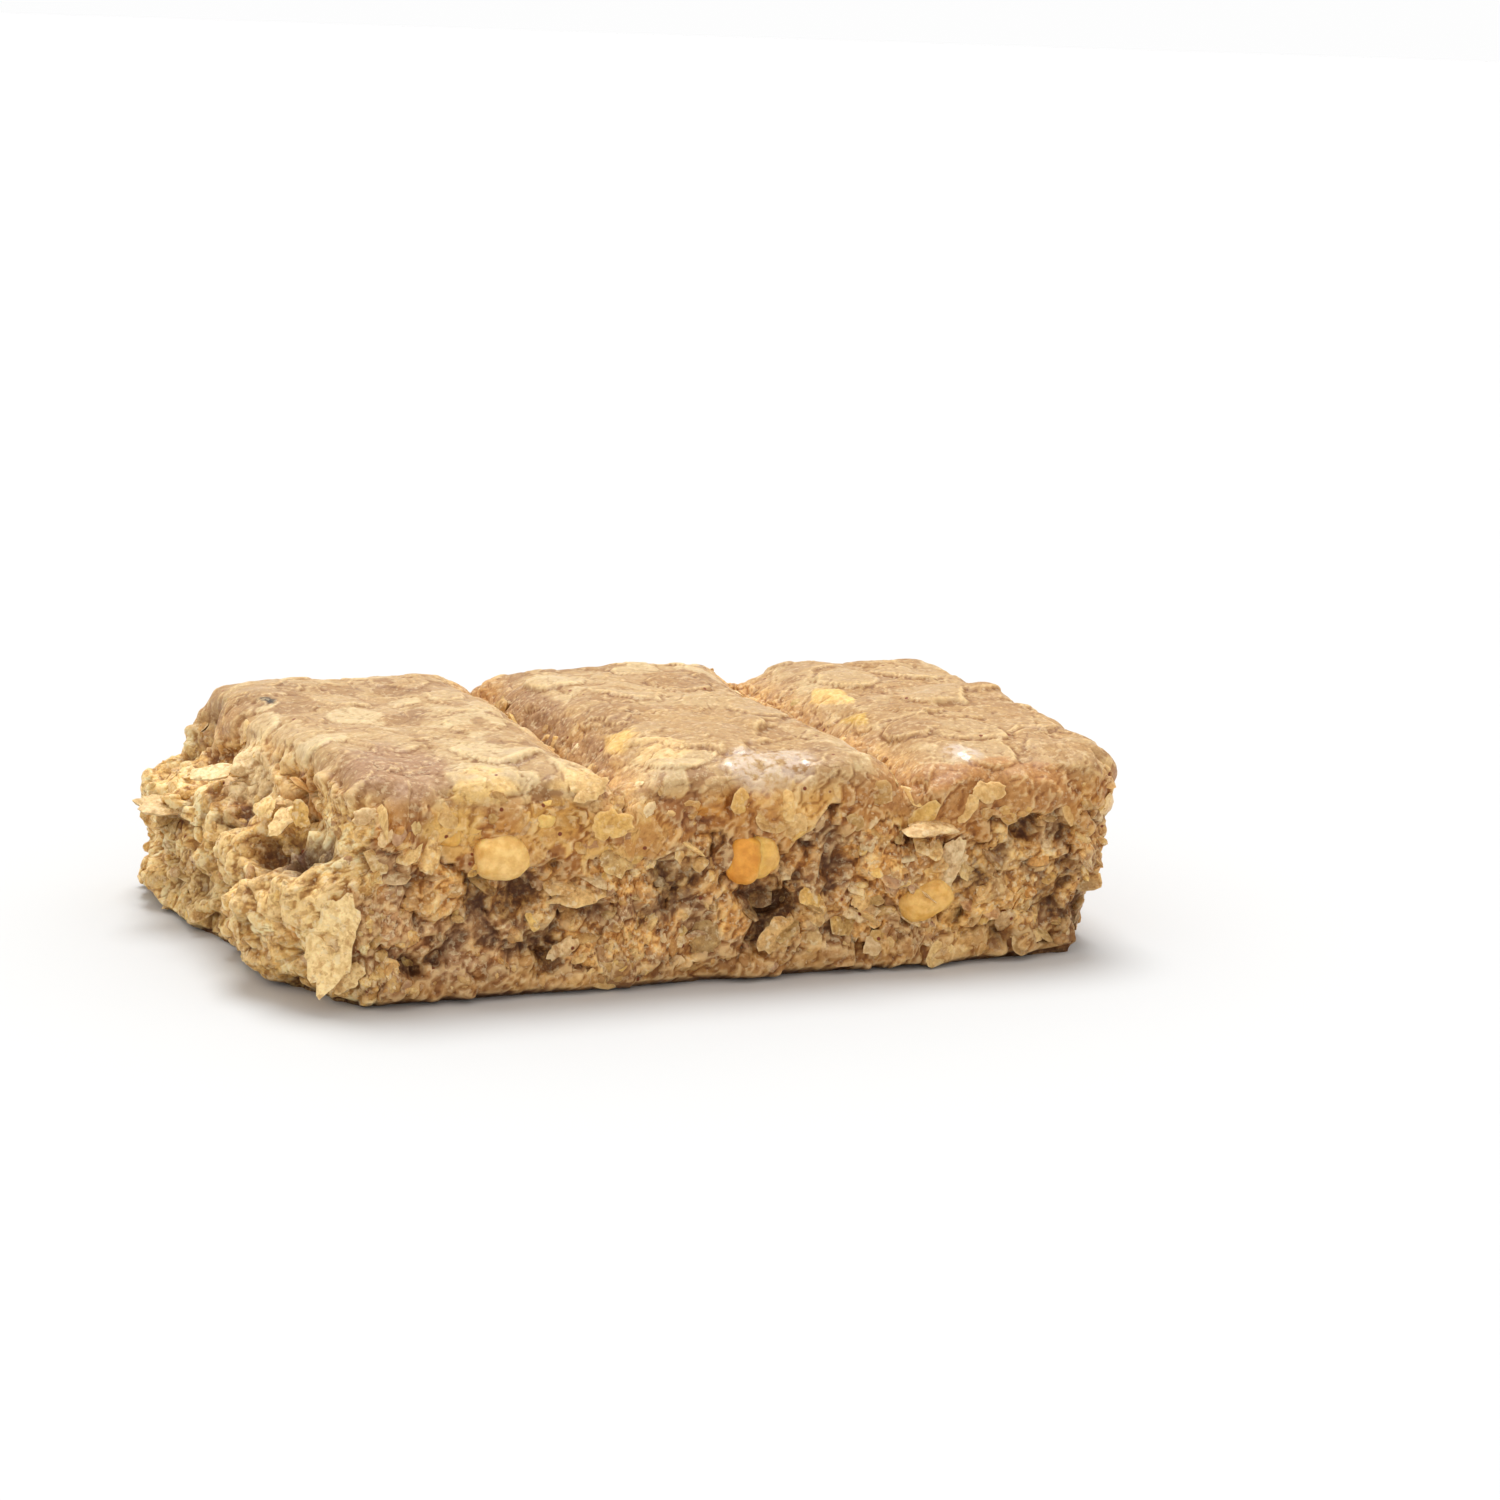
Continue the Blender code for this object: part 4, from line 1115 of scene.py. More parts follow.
def mesh_edges(mesh: bpy.types.Mesh, scale: float) -> Array:
    """How much each vertex stands out: 1 on a sharp ridge, 0 in a sharp crease and 0.5 where it is even.

    That is how far the vertex lies beyond the middle of its neighbours along its normal.

    Args:
        mesh: The mesh.
        scale: The distance that counts as sharp.

    Returns:
        One number for each vertex.
    """
    beyond = np.sum((mesh_places(mesh) - neighbour_middle(mesh)) * mesh_normals(mesh), axis=1)
    return np.clip(0.5 + 0.5 * beyond / scale, 0.0, 1.0)


def set_places(mesh: bpy.types.Mesh, places: Array) -> None:
    """Moves a mesh's vertices to new places."""
    mesh.vertices.foreach_set("co", places.astype(np.float32).ravel())
    mesh.update()


def set_colours(mesh: bpy.types.Mesh, name: str, *channels: Array) -> None:
    """Writes three or four values for each vertex, as the channels of one attribute.

    Args:
        mesh: The mesh.
        name: The attribute's name.
        channels: The values of each channel in turn.
    """
    full = (*channels, np.ones_like(channels[0]))[:4]
    attribute = mesh.attributes.new(name, "FLOAT_COLOR", "POINT")
    attribute.data.foreach_set("color", np.stack(full, axis=1).astype(np.float32).ravel())


def new_piece(name: str, mesh: bpy.types.Mesh, crease: float = 40.0) -> bpy.types.Object:
    """Puts a mesh in the scene, smooth but for its sharp edges, and lets it ride with the bar.

    Args:
        name: The piece's name.
        mesh: Its mesh, in place.
        crease: The angle in degrees past which an edge is sharp.

    Returns:
        The new piece.
    """
    mesh.shade_smooth()
    mesh.set_sharp_from_angle(angle=math.radians(crease))
    piece = bpy.data.objects.new(name, mesh)
    bpy.context.scene.collection.objects.link(piece)
    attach(piece, BODY)
    log.info("%s: %d vertices, %d faces", name, len(mesh.vertices), len(mesh.polygons))
    return piece


def frames_about(normals: Array, spin: Array) -> Array:
    """Axes for pieces that face along normals: two at right angles to each, turned about it by the spin.

    Args:
        normals: Which way each piece faces.
        spin: The turn of each about that.

    Returns:
        One 3 by 3 matrix for each piece, whose columns are the piece's own X, Y and Z.
    """
    up = unit_rows(normals)
    other = np.where(np.abs(up[:, 2:]) < 0.9, [[0.0, 0.0, 1.0]], [[1.0, 0.0, 0.0]])
    side = unit_rows(np.cross(other, up))
    fore = np.cross(up, side)
    cosine, sine = np.cos(spin)[:, None], np.sin(spin)[:, None]
    return np.stack([cosine * side + sine * fore, cosine * fore - sine * side, up], axis=2)


@dataclass(frozen=True)
class Surface:
    """What is known of each point of the mass before it is lifted."""

    points: Array
    normals: Array
    jagged: Array  # the points strayed by noise, so that borders drawn through them are ragged
    wandering: Array  # and strayed further
    zones: dict[Zone, Array]
    lift: Array
    loose: Array  # share of loose crumb, from 0 to 1
    hollow: Array  # how deep in a hollow, from 0 to 1, which is painted in shade
    under: Array  # how far under the base's edge, from 0 to 1, where it is drawn in and painted in shade
    tones: Array  # random numbers of the flake, the grain and the clump


@dataclass(frozen=True)
class Bed:
    """The surface that pieces are set in."""

    places: Array
    normals: Array
    zones: dict[Zone, Array]
    paint: dict[str, Array]  # what the finish reads at each place, by attribute
    least_height: float = 1.0 * MM  # below which no piece is picked
    shyness: float = 0.9  # how much rarer the pieces are in the deepest shade
    tries: int = 6  # places drawn for each piece wanted, since some are too close

    def pick(self, rng: np.random.Generator, weight: Array, count: int, spacing: float) -> Array:
        """Picks places at random by weight, with no two in the same cube of the given size.

        Args:
            rng: The seeded draw.
            weight: How likely each place is to be picked.
            count: The most places to pick.
            spacing: The cubes' size.

        Returns:
            Which places were picked.
        """
        weight = weight * (self.places[:, 2] > self.least_height)
        weight = weight * (1.0 - self.shyness * self.paint["relief"][:, 0])
        tries = min(self.tries * count, int(np.count_nonzero(weight)))
        drawn = rng.choice(len(weight), size=tries, replace=False, p=weight / weight.sum())
        cube = np.floor(self.places[drawn] / spacing).astype(np.int64)
        _, first = np.unique(cube, axis=0, return_index=True)
        return drawn[np.sort(first)][:count]

    def nearest(self, place: Lengths) -> int:
        """The number of the bed's place that is nearest to another place."""
        return int(np.argmin(np.linalg.norm(self.places - place, axis=1)))


@dataclass(frozen=True)
class Setting:
    """How one kind of piece is set in one zone of the surface."""

    zone: Zone
    count: int
    spacing: float
    size: Range  # least and greatest length
    sink: Range  # least and greatest depth of a piece's middle under the surface
    upright: float = 0.0  # share of straight up in the way a piece faces
    outward: float = 1.0  # share of the surface's own way
    stray: float = 0.3  # spread about that


@dataclass(frozen=True)
class Placed:
    """One piece that is given one by one."""

    place: Lengths
    length: float
    breadth: float
    facing: Direction
    spin: float  # its turn about that, in degrees
    tint: Tint
    share: float = 0.65  # strength of the tint


@dataclass(frozen=True)
class RingPiece:
    """A closed piece made of rings round its own Z, with a pole at either end: a disc, a grain or a chip.

    A ring's radius is its share of the piece's, uneven round the rim. Its height is its share of half the
    thickness, bent by the squares of the distances along the piece's own X and Y, as a drying flake curls.
    """

    name: str
    rings: tuple[Range, ...]  # share of the radius and of half the thickness, from the top down
    around: int
    breadth: Range  # least and greatest, as a share of the length
    thickness: Range
    ragged: float  # unevenness of the rim
    lumpy: float  # unevenness of each vertex
    curl: float
    settings: tuple[Setting, ...]
    tints: dict[Tint, float]
    share: Range  # least and greatest strength of a piece's own tint
    crease: float
    flat_below: float = 6.0 * MM  # height below which the pieces lie flat on the surface, more and more
    widest: float = 20.9 * MM  # farthest from the middle of the bar's width that a piece may reach
    floor: float = 0.15 * MM  # least height of a piece's vertices
    floor_slope: float = 0.05  # how much of their own height they keep below it
    waves: Waves = ((2, 0.6), (3, 0.6))  # times round the rim, and height as a share of the raggedness
    jitter: float = 0.3  # how far a rim's vertices stray along it, in steps
    dents: Range = (-0.6, 0.4)  # least and greatest height of each one's own, as a share of the raggedness
    smaller: float = 1.8  # power by which small pieces are more common
    lightness: Range = (0.85, 1.08)
    tones: Range = (0.2, 0.8)
    rim_edge: float = 0.85  # how much the finish takes the widest ring for a ridge, which it paints lighter as a highlight
    shade: float = 0.8  # share of the bed's painted shade that the pieces take
    placed: tuple[Placed, ...] = ()

    def faces(self, count: int) -> list[list[int]]:
        """The faces of a number of copies: a fan at each pole and bands of quads between the rings.

        Args:
            count: The number of copies.

        Returns:
            The vertices of each face.
        """
        around, rings = self.around, len(self.rings)
        here = np.arange(around)
        after = (here + 1) % around
        fan = np.full(around, rings * around)
        top = np.stack([here, after, fan], axis=1)
        last = (rings - 1) * around
        bottom = np.stack([last + after, last + here, fan + 1], axis=1)
        bands = np.concatenate(
            [
                ring * around + np.stack([here, around + here, around + after, after], axis=1)
                for ring in range(rings - 1)
            ]
        )
        start = (rings * around + 2) * np.arange(count)[:, None, None]
        triangles = (start + np.concatenate([top, bottom])).reshape(-1, 3)
        return triangles.tolist() + (start + bands).reshape(-1, 4).tolist()

    def shapes(self, rng: np.random.Generator, length: Array, breadth: Array) -> Array:
        """The pieces' vertices about their own middles, as the class says in words.

        Args:
            rng: The seeded draw.
            length: Each piece's length.
            breadth: Each piece's breadth as a share of its length.

        Returns:
            The vertices of each piece, ring after ring and then the two poles.
        """
        count, around = len(length), self.around
        stray = rng.uniform(-self.jitter, self.jitter, (count, around))
        angle = math.tau * (np.arange(around) + stray) / around
        phase = rng.uniform(0.0, math.tau, (len(self.waves), count, 1))
        rim = 1.0 + self.ragged * rng.uniform(*self.dents, (count, around))
        for turn, (times, height) in zip(phase, self.waves):
            rim = rim + self.ragged * height * np.cos(times * angle + turn)
        share, level = np.array(self.rings).T
        radius = 0.5 * share[None, :, None] * rim[:, None, :]
        x = radius * np.cos(angle)[:, None, :]
        y = radius * np.sin(angle)[:, None, :] * breadth[:, None, None]
        half = 0.5 * rng.uniform(*self.thickness, count)[:, None, None] / length[:, None, None]
        z = half * level[None, :, None] * np.ones_like(x)
        ring_points = np.stack([x, y, z], axis=-1).reshape(count, -1, 3)
        poles = np.zeros((count, 2, 3))
        poles[:, 0, 2], poles[:, 1, 2] = half[:, 0, 0], -half[:, 0, 0]
        points = np.concatenate([ring_points, poles], axis=1)
        points *= 1.0 + self.lumpy * rng.uniform(-1.0, 1.0, points.shape[:2])[..., None]
        bend = self.curl * rng.uniform(-1.0, 1.0, (count, 2))
        points[..., 2] += bend[:, :1] * points[..., 0] ** 2 + bend[:, 1:] * points[..., 1] ** 2
        return points * length[:, None, None]

    def colours(self, rng: np.random.Generator, count: int) -> Array:
        """Draws a colour for each piece from the tints by their shares, a little lighter or darker.

        Args:
            rng: The seeded draw.
            count: The number of pieces.

        Returns:
            Red, green, blue and the tint's strength for each piece.
        """
        kinds = np.array([tint.value for tint in self.tints])
        shares = np.array(list(self.tints.values()))
        drawn = kinds[rng.choice(len(kinds), size=count, p=shares / shares.sum())]
        strength = rng.uniform(*self.share, (count, 1))
        return np.concatenate([drawn * rng.uniform(*self.lightness, (count, 1)), strength], axis=1)

    def build(self, bed: Bed, rng: np.random.Generator) -> bpy.types.Object:
        """Sets the pieces in the bed.

        Args:
            bed: The surface.
            rng: The seeded draw.

        Returns:
            All of them as one piece, with what the finish reads of the bed and each one's own colour.
        """
        places, sizes, axes, under = [], [], [], []
        for setting in self.settings:
            chosen = bed.pick(rng, bed.zones[setting.zone] ** 2, setting.count, setting.spacing)
            count = len(chosen)
            normals = bed.normals[chosen]
            above = smooth_step(bed.places[chosen, 2:] / self.flat_below)
            facing = setting.outward * normals + above * [0.0, 0.0, setting.upright]
            facing = facing + rng.normal(0.0, setting.stray, (count, 3))
            sink = rng.uniform(*setting.sink, (count, 1))
            places.append(bed.places[chosen] - sink * normals)
            larger = rng.uniform(0.0, 1.0, count) ** self.smaller
            sizes.append(setting.size[0] + np.ptp(setting.size) * larger)
            axes.append(frames_about(facing, rng.uniform(0.0, math.tau, count)))
            under.append(chosen)
        total = sum(len(size) for size in sizes)
        breadth, colour = rng.uniform(*self.breadth, total), self.colours(rng, total)
        if self.placed:
            places.append(np.array([flake.place for flake in self.placed]))
            sizes.append(np.array([flake.length for flake in self.placed]))
            facing = np.array([flake.facing for flake in self.placed])
            axes.append(frames_about(facing, np.radians([flake.spin for flake in self.placed])))
            under.append(np.array([bed.nearest(flake.place) for flake in self.placed]))
            breadth = np.append(breadth, [flake.breadth / flake.length for flake in self.placed])
            colour = np.concatenate([colour, [(*flake.tint.value, flake.share) for flake in self.placed]])
        middle, length, turn, below = (np.concatenate(rows) for rows in (places, sizes, axes, under))
        points = np.einsum("nij,nkj->nki", turn, self.shapes(rng, length, breadth)) + middle[:, None, :]
        out = np.max(np.abs(points[..., 1]), axis=1) - self.widest
        points[..., 1] -= (np.sign(middle[:, 1]) * np.maximum(out, 0.0))[:, None]
        points[..., 2] = np.maximum(points[..., 2], self.floor + self.floor_slope * points[..., 2])
        count, size = points.shape[:2]
        mesh = bpy.data.meshes.new(self.name)
        mesh.from_pydata(points.reshape(-1, 3).tolist(), [], self.faces(count))
        set_colours(mesh, "tint", *np.repeat(colour, size, axis=0).T)
        is_widest = np.array(self.rings)[:, 0] >= 1.0
        edge = np.append(np.repeat(np.where(is_widest, self.rim_edge, 0.5), self.around), (0.5, 0.5))
        for name, rows in bed.paint.items():
            own = np.repeat(rows[below], size, axis=0)
            # The pieces take part of the bed's painted shade, their own rims as painted ridges, and the bed's
            # gloss.
            if name == "relief":
                own = np.stack([self.shade * own[:, 0], np.tile(edge, count), own[:, 2]], axis=1)
            set_colours(mesh, name, *own.T)
        tones = rng.uniform(*self.tones, (count, 3))
        set_colours(mesh, "grain", *np.repeat(tones, size, axis=0).T)
        return new_piece(self.name, mesh, self.crease)


FRONT: Direction = (0.0, -1.0, 0.25)
PLACED_FLAKES = tuple(
    Placed(mm(x, y, z), length * MM, breadth * MM, facing, spin, tint, *share)
    for x, y, z, length, breadth, facing, spin, tint, *share in (
        (-26.4, -18.8, 5.0, 6.6, 3.7, (-0.7, -1.0, 0.15), 78.0, Tint.BRIGHT, 1.0),
        (-27.8, -9.4, 11.4, 2.8, 1.7, (-0.5, -0.6, 0.8), 65.0, Tint.BRIGHT, 0.9),
        (-28.6, -7.2, 11.8, 2.4, 1.5, (-0.8, -0.4, 0.6), 10.0, Tint.CREAM, 0.8),
        (-27.0, -11.2, 12.2, 2.2, 1.4, (-0.7, -0.8, 0.2), 120.0, Tint.STRAW, 0.7),
        (-25.6, -18.7, 2.4, 2.8, 2.0, (-0.5, -1.0, 0.3), 20.0, Tint.BRIGHT, 0.8),
        (-23.2, -18.9, 7.2, 2.6, 2.0, FRONT, 30.0, Tint.OLIVE),
        (-19.8, -19.3, 11.0, 2.8, 1.6, FRONT, 80.0, Tint.CREAM),
        (-24.3, -18.6, 13.7, 1.9, 1.1, FRONT, 10.0, Tint.PALE),
        (-23.1, -19.8, 12.4, 1.3, 1.0, FRONT, 40.0, Tint.PALE),
        (-8.7, -18.9, 7.3, 4.4, 1.8, (0.0, -0.9, 0.6), 5.0, Tint.CREAM),
        (-6.2, -19.2, 9.6, 3.0, 1.9, (0.2, -1.0, 0.3), -25.0, Tint.OLIVE),
        (-1.8, -19.0, 3.7, 2.3, 1.5, (0.3, -1.0, 0.5), -20.0, Tint.PALE),
        (0.6, -18.9, 3.4, 3.2, 2.2, (-0.2, -1.0, 0.2), 60.0, Tint.OLIVE),
        (6.1, -19.2, 3.4, 3.4, 2.3, FRONT, 35.0, Tint.CREAM, 0.6),
        (-9.9, -18.6, 3.3, 2.6, 1.2, FRONT, 30.0, Tint.PALE),
        (22.1, -19.3, 13.1, 2.7, 1.6, FRONT, 8.0, Tint.CREAM),
        (17.5, -19.5, 10.7, 4.2, 2.0, (0.0, -0.4, 1.0), 90.0, Tint.PALE, 0.6),
        (12.9, -18.5, 5.6, 2.6, 1.8, (0.3, -1.0, 0.5), 20.0, Tint.CREAM),
        (12.6, -18.8, 4.4, 2.8, 1.4, (0.0, -0.9, 0.7), 5.0, Tint.PALE),
        (19.4, -19.2, 8.0, 3.6, 1.9, (-0.2, -1.0, 0.1), 75.0, Tint.PALE, 0.7),
        (14.0, -19.0, 2.2, 2.7, 1.7, (0.1, -1.0, 0.6), 25.0, Tint.PALE),
        (21.3, -18.8, 1.4, 3.0, 1.1, (0.0, -1.0, 0.8), 8.0, Tint.CREAM),
        (26.1, -19.0, 1.9, 2.6, 1.3, (0.2, -1.0, 0.7), 0.0, Tint.CREAM, 0.6),
        (-6.9, -19.4, 12.3, 2.9, 2.2, FRONT, 15.0, Tint.STRAW),
        (-8.2, -18.4, 14.8, 3.4, 2.0, (0.1, -0.8, 0.9), 20.0, Tint.CREAM),
        (-33.4, 6.8, 8.8, 4.4, 2.8, (0.15, -0.35, 1.0), 90.0, Tint.PALE),
        (-30.4, 2.4, 12.2, 3.4, 2.4, (-0.25, -0.2, 1.0), 80.0, Tint.PALE),
        (-28.8, -16.0, 8.0, 2.6, 1.8, (-0.5, -0.8, 0.7), 10.0, Tint.STRAW),
    )
)
ROLLED_OATS = RingPiece(
    name="rolled_oats",
    rings=((0.72, 0.9), (1.0, 0.2), (0.8, -0.8)),
    around=13,
    breadth=(0.55, 0.95),
    thickness=mm(0.3, 0.6),
    ragged=0.22,
    lumpy=0.05,
    curl=0.4,
    settings=(
        Setting(Zone.CRUMB, 400, 1.3 * MM, mm(1.2, 3.3), mm(0.1, 0.6), 0.6, 0.8, 0.3),
        Setting(Zone.TORN, 60, 2.4 * MM, mm(1.4, 3.0), mm(0.35, 0.8), 0.2, 1.0, 0.2),
        Setting(Zone.GROOVE, 90, 1.6 * MM, mm(1.2, 2.6), mm(0.15, 0.5), 0.2, 1.0, 0.25),
        Setting(Zone.LIP, 130, 1.8 * MM, mm(1.2, 3.0), mm(0.15, 0.34), 0.0, 1.0, 0.12),
        Setting(Zone.BASE, 90, 1.8 * MM, mm(1.0, 2.6), mm(0.25, 0.45), 0.1, 1.0, 0.14),
    ),
    tints={Tint.CREAM: 3.0, Tint.PALE: 1.4, Tint.STRAW: 1.4, Tint.TAN: 1.4, Tint.OLIVE: 0.9, Tint.MAUVE: 0.8},
    share=(0.4, 0.95),
    crease=60.0,
)
LARGE_FLAKES = RingPiece(
    name="large_flakes",
    rings=((0.4, 1.0), (0.75, 0.9), (1.0, 0.1), (0.85, -0.8)),
    around=34,
    breadth=(0.55, 0.95),
    thickness=mm(0.3, 0.55),
    ragged=0.12,
    lumpy=0.03,
    curl=0.5,
    settings=(),
    tints={Tint.CREAM: 1.0},
    share=(0.5, 0.8),
    crease=60.0,
    waves=((2, 0.8), (3, 0.7), (5, 0.5), (7, 0.5), (11, 0.35)),
    placed=PLACED_FLAKES,
)
BROKEN_GRAIN = RingPiece(
    name="broken_grain",
    rings=((0.62, 0.8), (0.98, 0.3), (0.82, -0.6)),
    around=9,
    breadth=(0.6, 1.0),
    thickness=mm(0.35, 0.8),
    ragged=0.11,
    lumpy=0.05,
    curl=0.2,
    settings=(
        Setting(Zone.CRUMB, 560, 1.2 * MM, mm(0.6, 2.2), mm(0.2, 0.55)),
        Setting(Zone.TORN, 620, 0.9 * MM, mm(0.5, 1.7), mm(0.15, 0.5)),
        Setting(Zone.GROOVE, 100, 1.2 * MM, mm(0.5, 1.6), mm(0.2, 0.45)),
        Setting(Zone.BASE, 220, 1.0 * MM, mm(0.5, 1.5), mm(0.25, 0.45)),
        Setting(Zone.LIP, 150, 1.4 * MM, mm(0.5, 1.8), mm(0.2, 0.45)),
    ),
    tints={
        Tint.CREAM: 2.6,
        Tint.PALE: 0.6,
        Tint.TAN: 2.0,
        Tint.OLIVE: 0.8,
        Tint.MAUVE: 1.4,
        Tint.RUSSET: 0.6,
    },
    share=(0.1, 0.7),
    crease=75.0,
)


@dataclass(frozen=True)
class NutPiece:
    """One piece of nut."""

    place: Lengths
    size: Lengths  # along X, Y and Z
    tint: Tint
    tilt: float = 0.0  # about Y, in radians


@dataclass(frozen=True)
class NutPieces:
    """The nut pieces, each an uneven superellipsoid."""

    pieces: tuple[NutPiece, ...] = (
        NutPiece(mm(-14.7, -18.8, 10.3), mm(3.7, 2.8, 2.9), Tint.LIGHT, 0.1),
        NutPiece(mm(3.3, -18.9, 9.1), mm(2.7, 2.8, 3.6), Tint.ORANGE, 0.2),
        NutPiece(mm(4.5, -18.7, 9.3), mm(2.8, 2.7, 3.3), Tint.YELLOW, -0.3),
        NutPiece(mm(17.5, -19.1, 5.2), mm(4.4, 2.8, 2.6), Tint.YELLOW, -0.3),
        NutPiece(mm(29.2, -16.8, 7.4), mm(2.4, 2.6, 3.2), Tint.STRAW),
        NutPiece(mm(-18.4, -17.8, 12.2), mm(3.0, 2.2, 2.6), Tint.YELLOW, 0.3),
        NutPiece(mm(-12.1, -18.2, 12.5), mm(3.6, 2.0, 1.8), Tint.STRAW, 0.1),
        NutPiece(mm(-8.3, 18.3, 7.6), mm(4.4, 2.8, 3.0), Tint.YELLOW),
        NutPiece(mm(13.2, 18.2, 8.6), mm(4.0, 2.8, 3.0), Tint.STRAW),
    )
    around: int = 44
    tiers: int = 28
    squareness: float = 0.76  # 1 is an ellipsoid, less is boxier
    swelling: Waves = (mm(3.0, 0.30), mm(1.3, 0.20), mm(0.5, 0.07))

    def shape(self, nut: NutPiece) -> Array:
        """The nut's vertices: powers of the sine and cosine of its two angles, moved out by smooth noise.

        Args:
            nut: The piece.

        Returns:
            The vertices, tier after tier and then the two poles.
        """
        turn = math.tau * np.arange(self.around) / self.around
        rise = math.pi * (np.arange(1, self.tiers + 1) / (self.tiers + 1) - 0.5)

        def power(value: Array) -> Array:
            """The value's size to the power of the squareness, with its sign."""
            return np.sign(value) * np.abs(value) ** self.squareness

        x = power(np.cos(rise))[:, None] * power(np.cos(turn))[None, :]
        y = power(np.cos(rise))[:, None] * power(np.sin(turn))[None, :]
        z = power(np.sin(rise))[:, None] * np.ones_like(turn)[None, :]
        points = np.stack([x, y, z], axis=-1).reshape(-1, 3)
        points = np.concatenate([points, [[0.0, 0.0, -1.0], [0.0, 0.0, 1.0]]])
        outward = unit_rows(points)
        points = 0.5 * points * nut.size
        middle = np.array(nut.place)
        height = NOISE.layered(points + middle, self.swelling, Layer.NUTS)
        points = points + outward * height[:, None]
        return points @ np.array(Matrix.Rotation(nut.tilt, 3, "Y")).T + middle

    def build(self) -> bpy.types.Object:
        """Builds all the nut pieces as one piece, with their tints.

        Returns:
            The piece.
        """
        around, tiers = self.around, self.tiers
        grid = np.arange(around * tiers).reshape(tiers, around)
        after = np.roll(grid, -1, axis=1)
        bands = np.stack([grid[:-1], after[:-1], after[1:], grid[1:]], axis=-1).reshape(-1, 4)
        pole = np.full(around, around * tiers)
        low = np.stack([after[0], grid[0], pole], axis=1)
        high = np.stack([grid[-1], after[-1], pole + 1], axis=1)
        points, faces = [], []
        for index, nut in enumerate(self.pieces):
            start = index * (around * tiers + 2)
            points.append(self.shape(nut))
            faces += (bands + start).tolist() + (low + start).tolist() + (high + start).tolist()
        mesh = bpy.data.meshes.new("nut_pieces")
        mesh.from_pydata(np.concatenate(points).tolist(), [], faces)
        tints = np.repeat([nut.tint.value for nut in self.pieces], around * tiers + 2, axis=0)
        set_colours(mesh, "tint", *tints.T)
        return new_piece("nut_pieces", mesh)


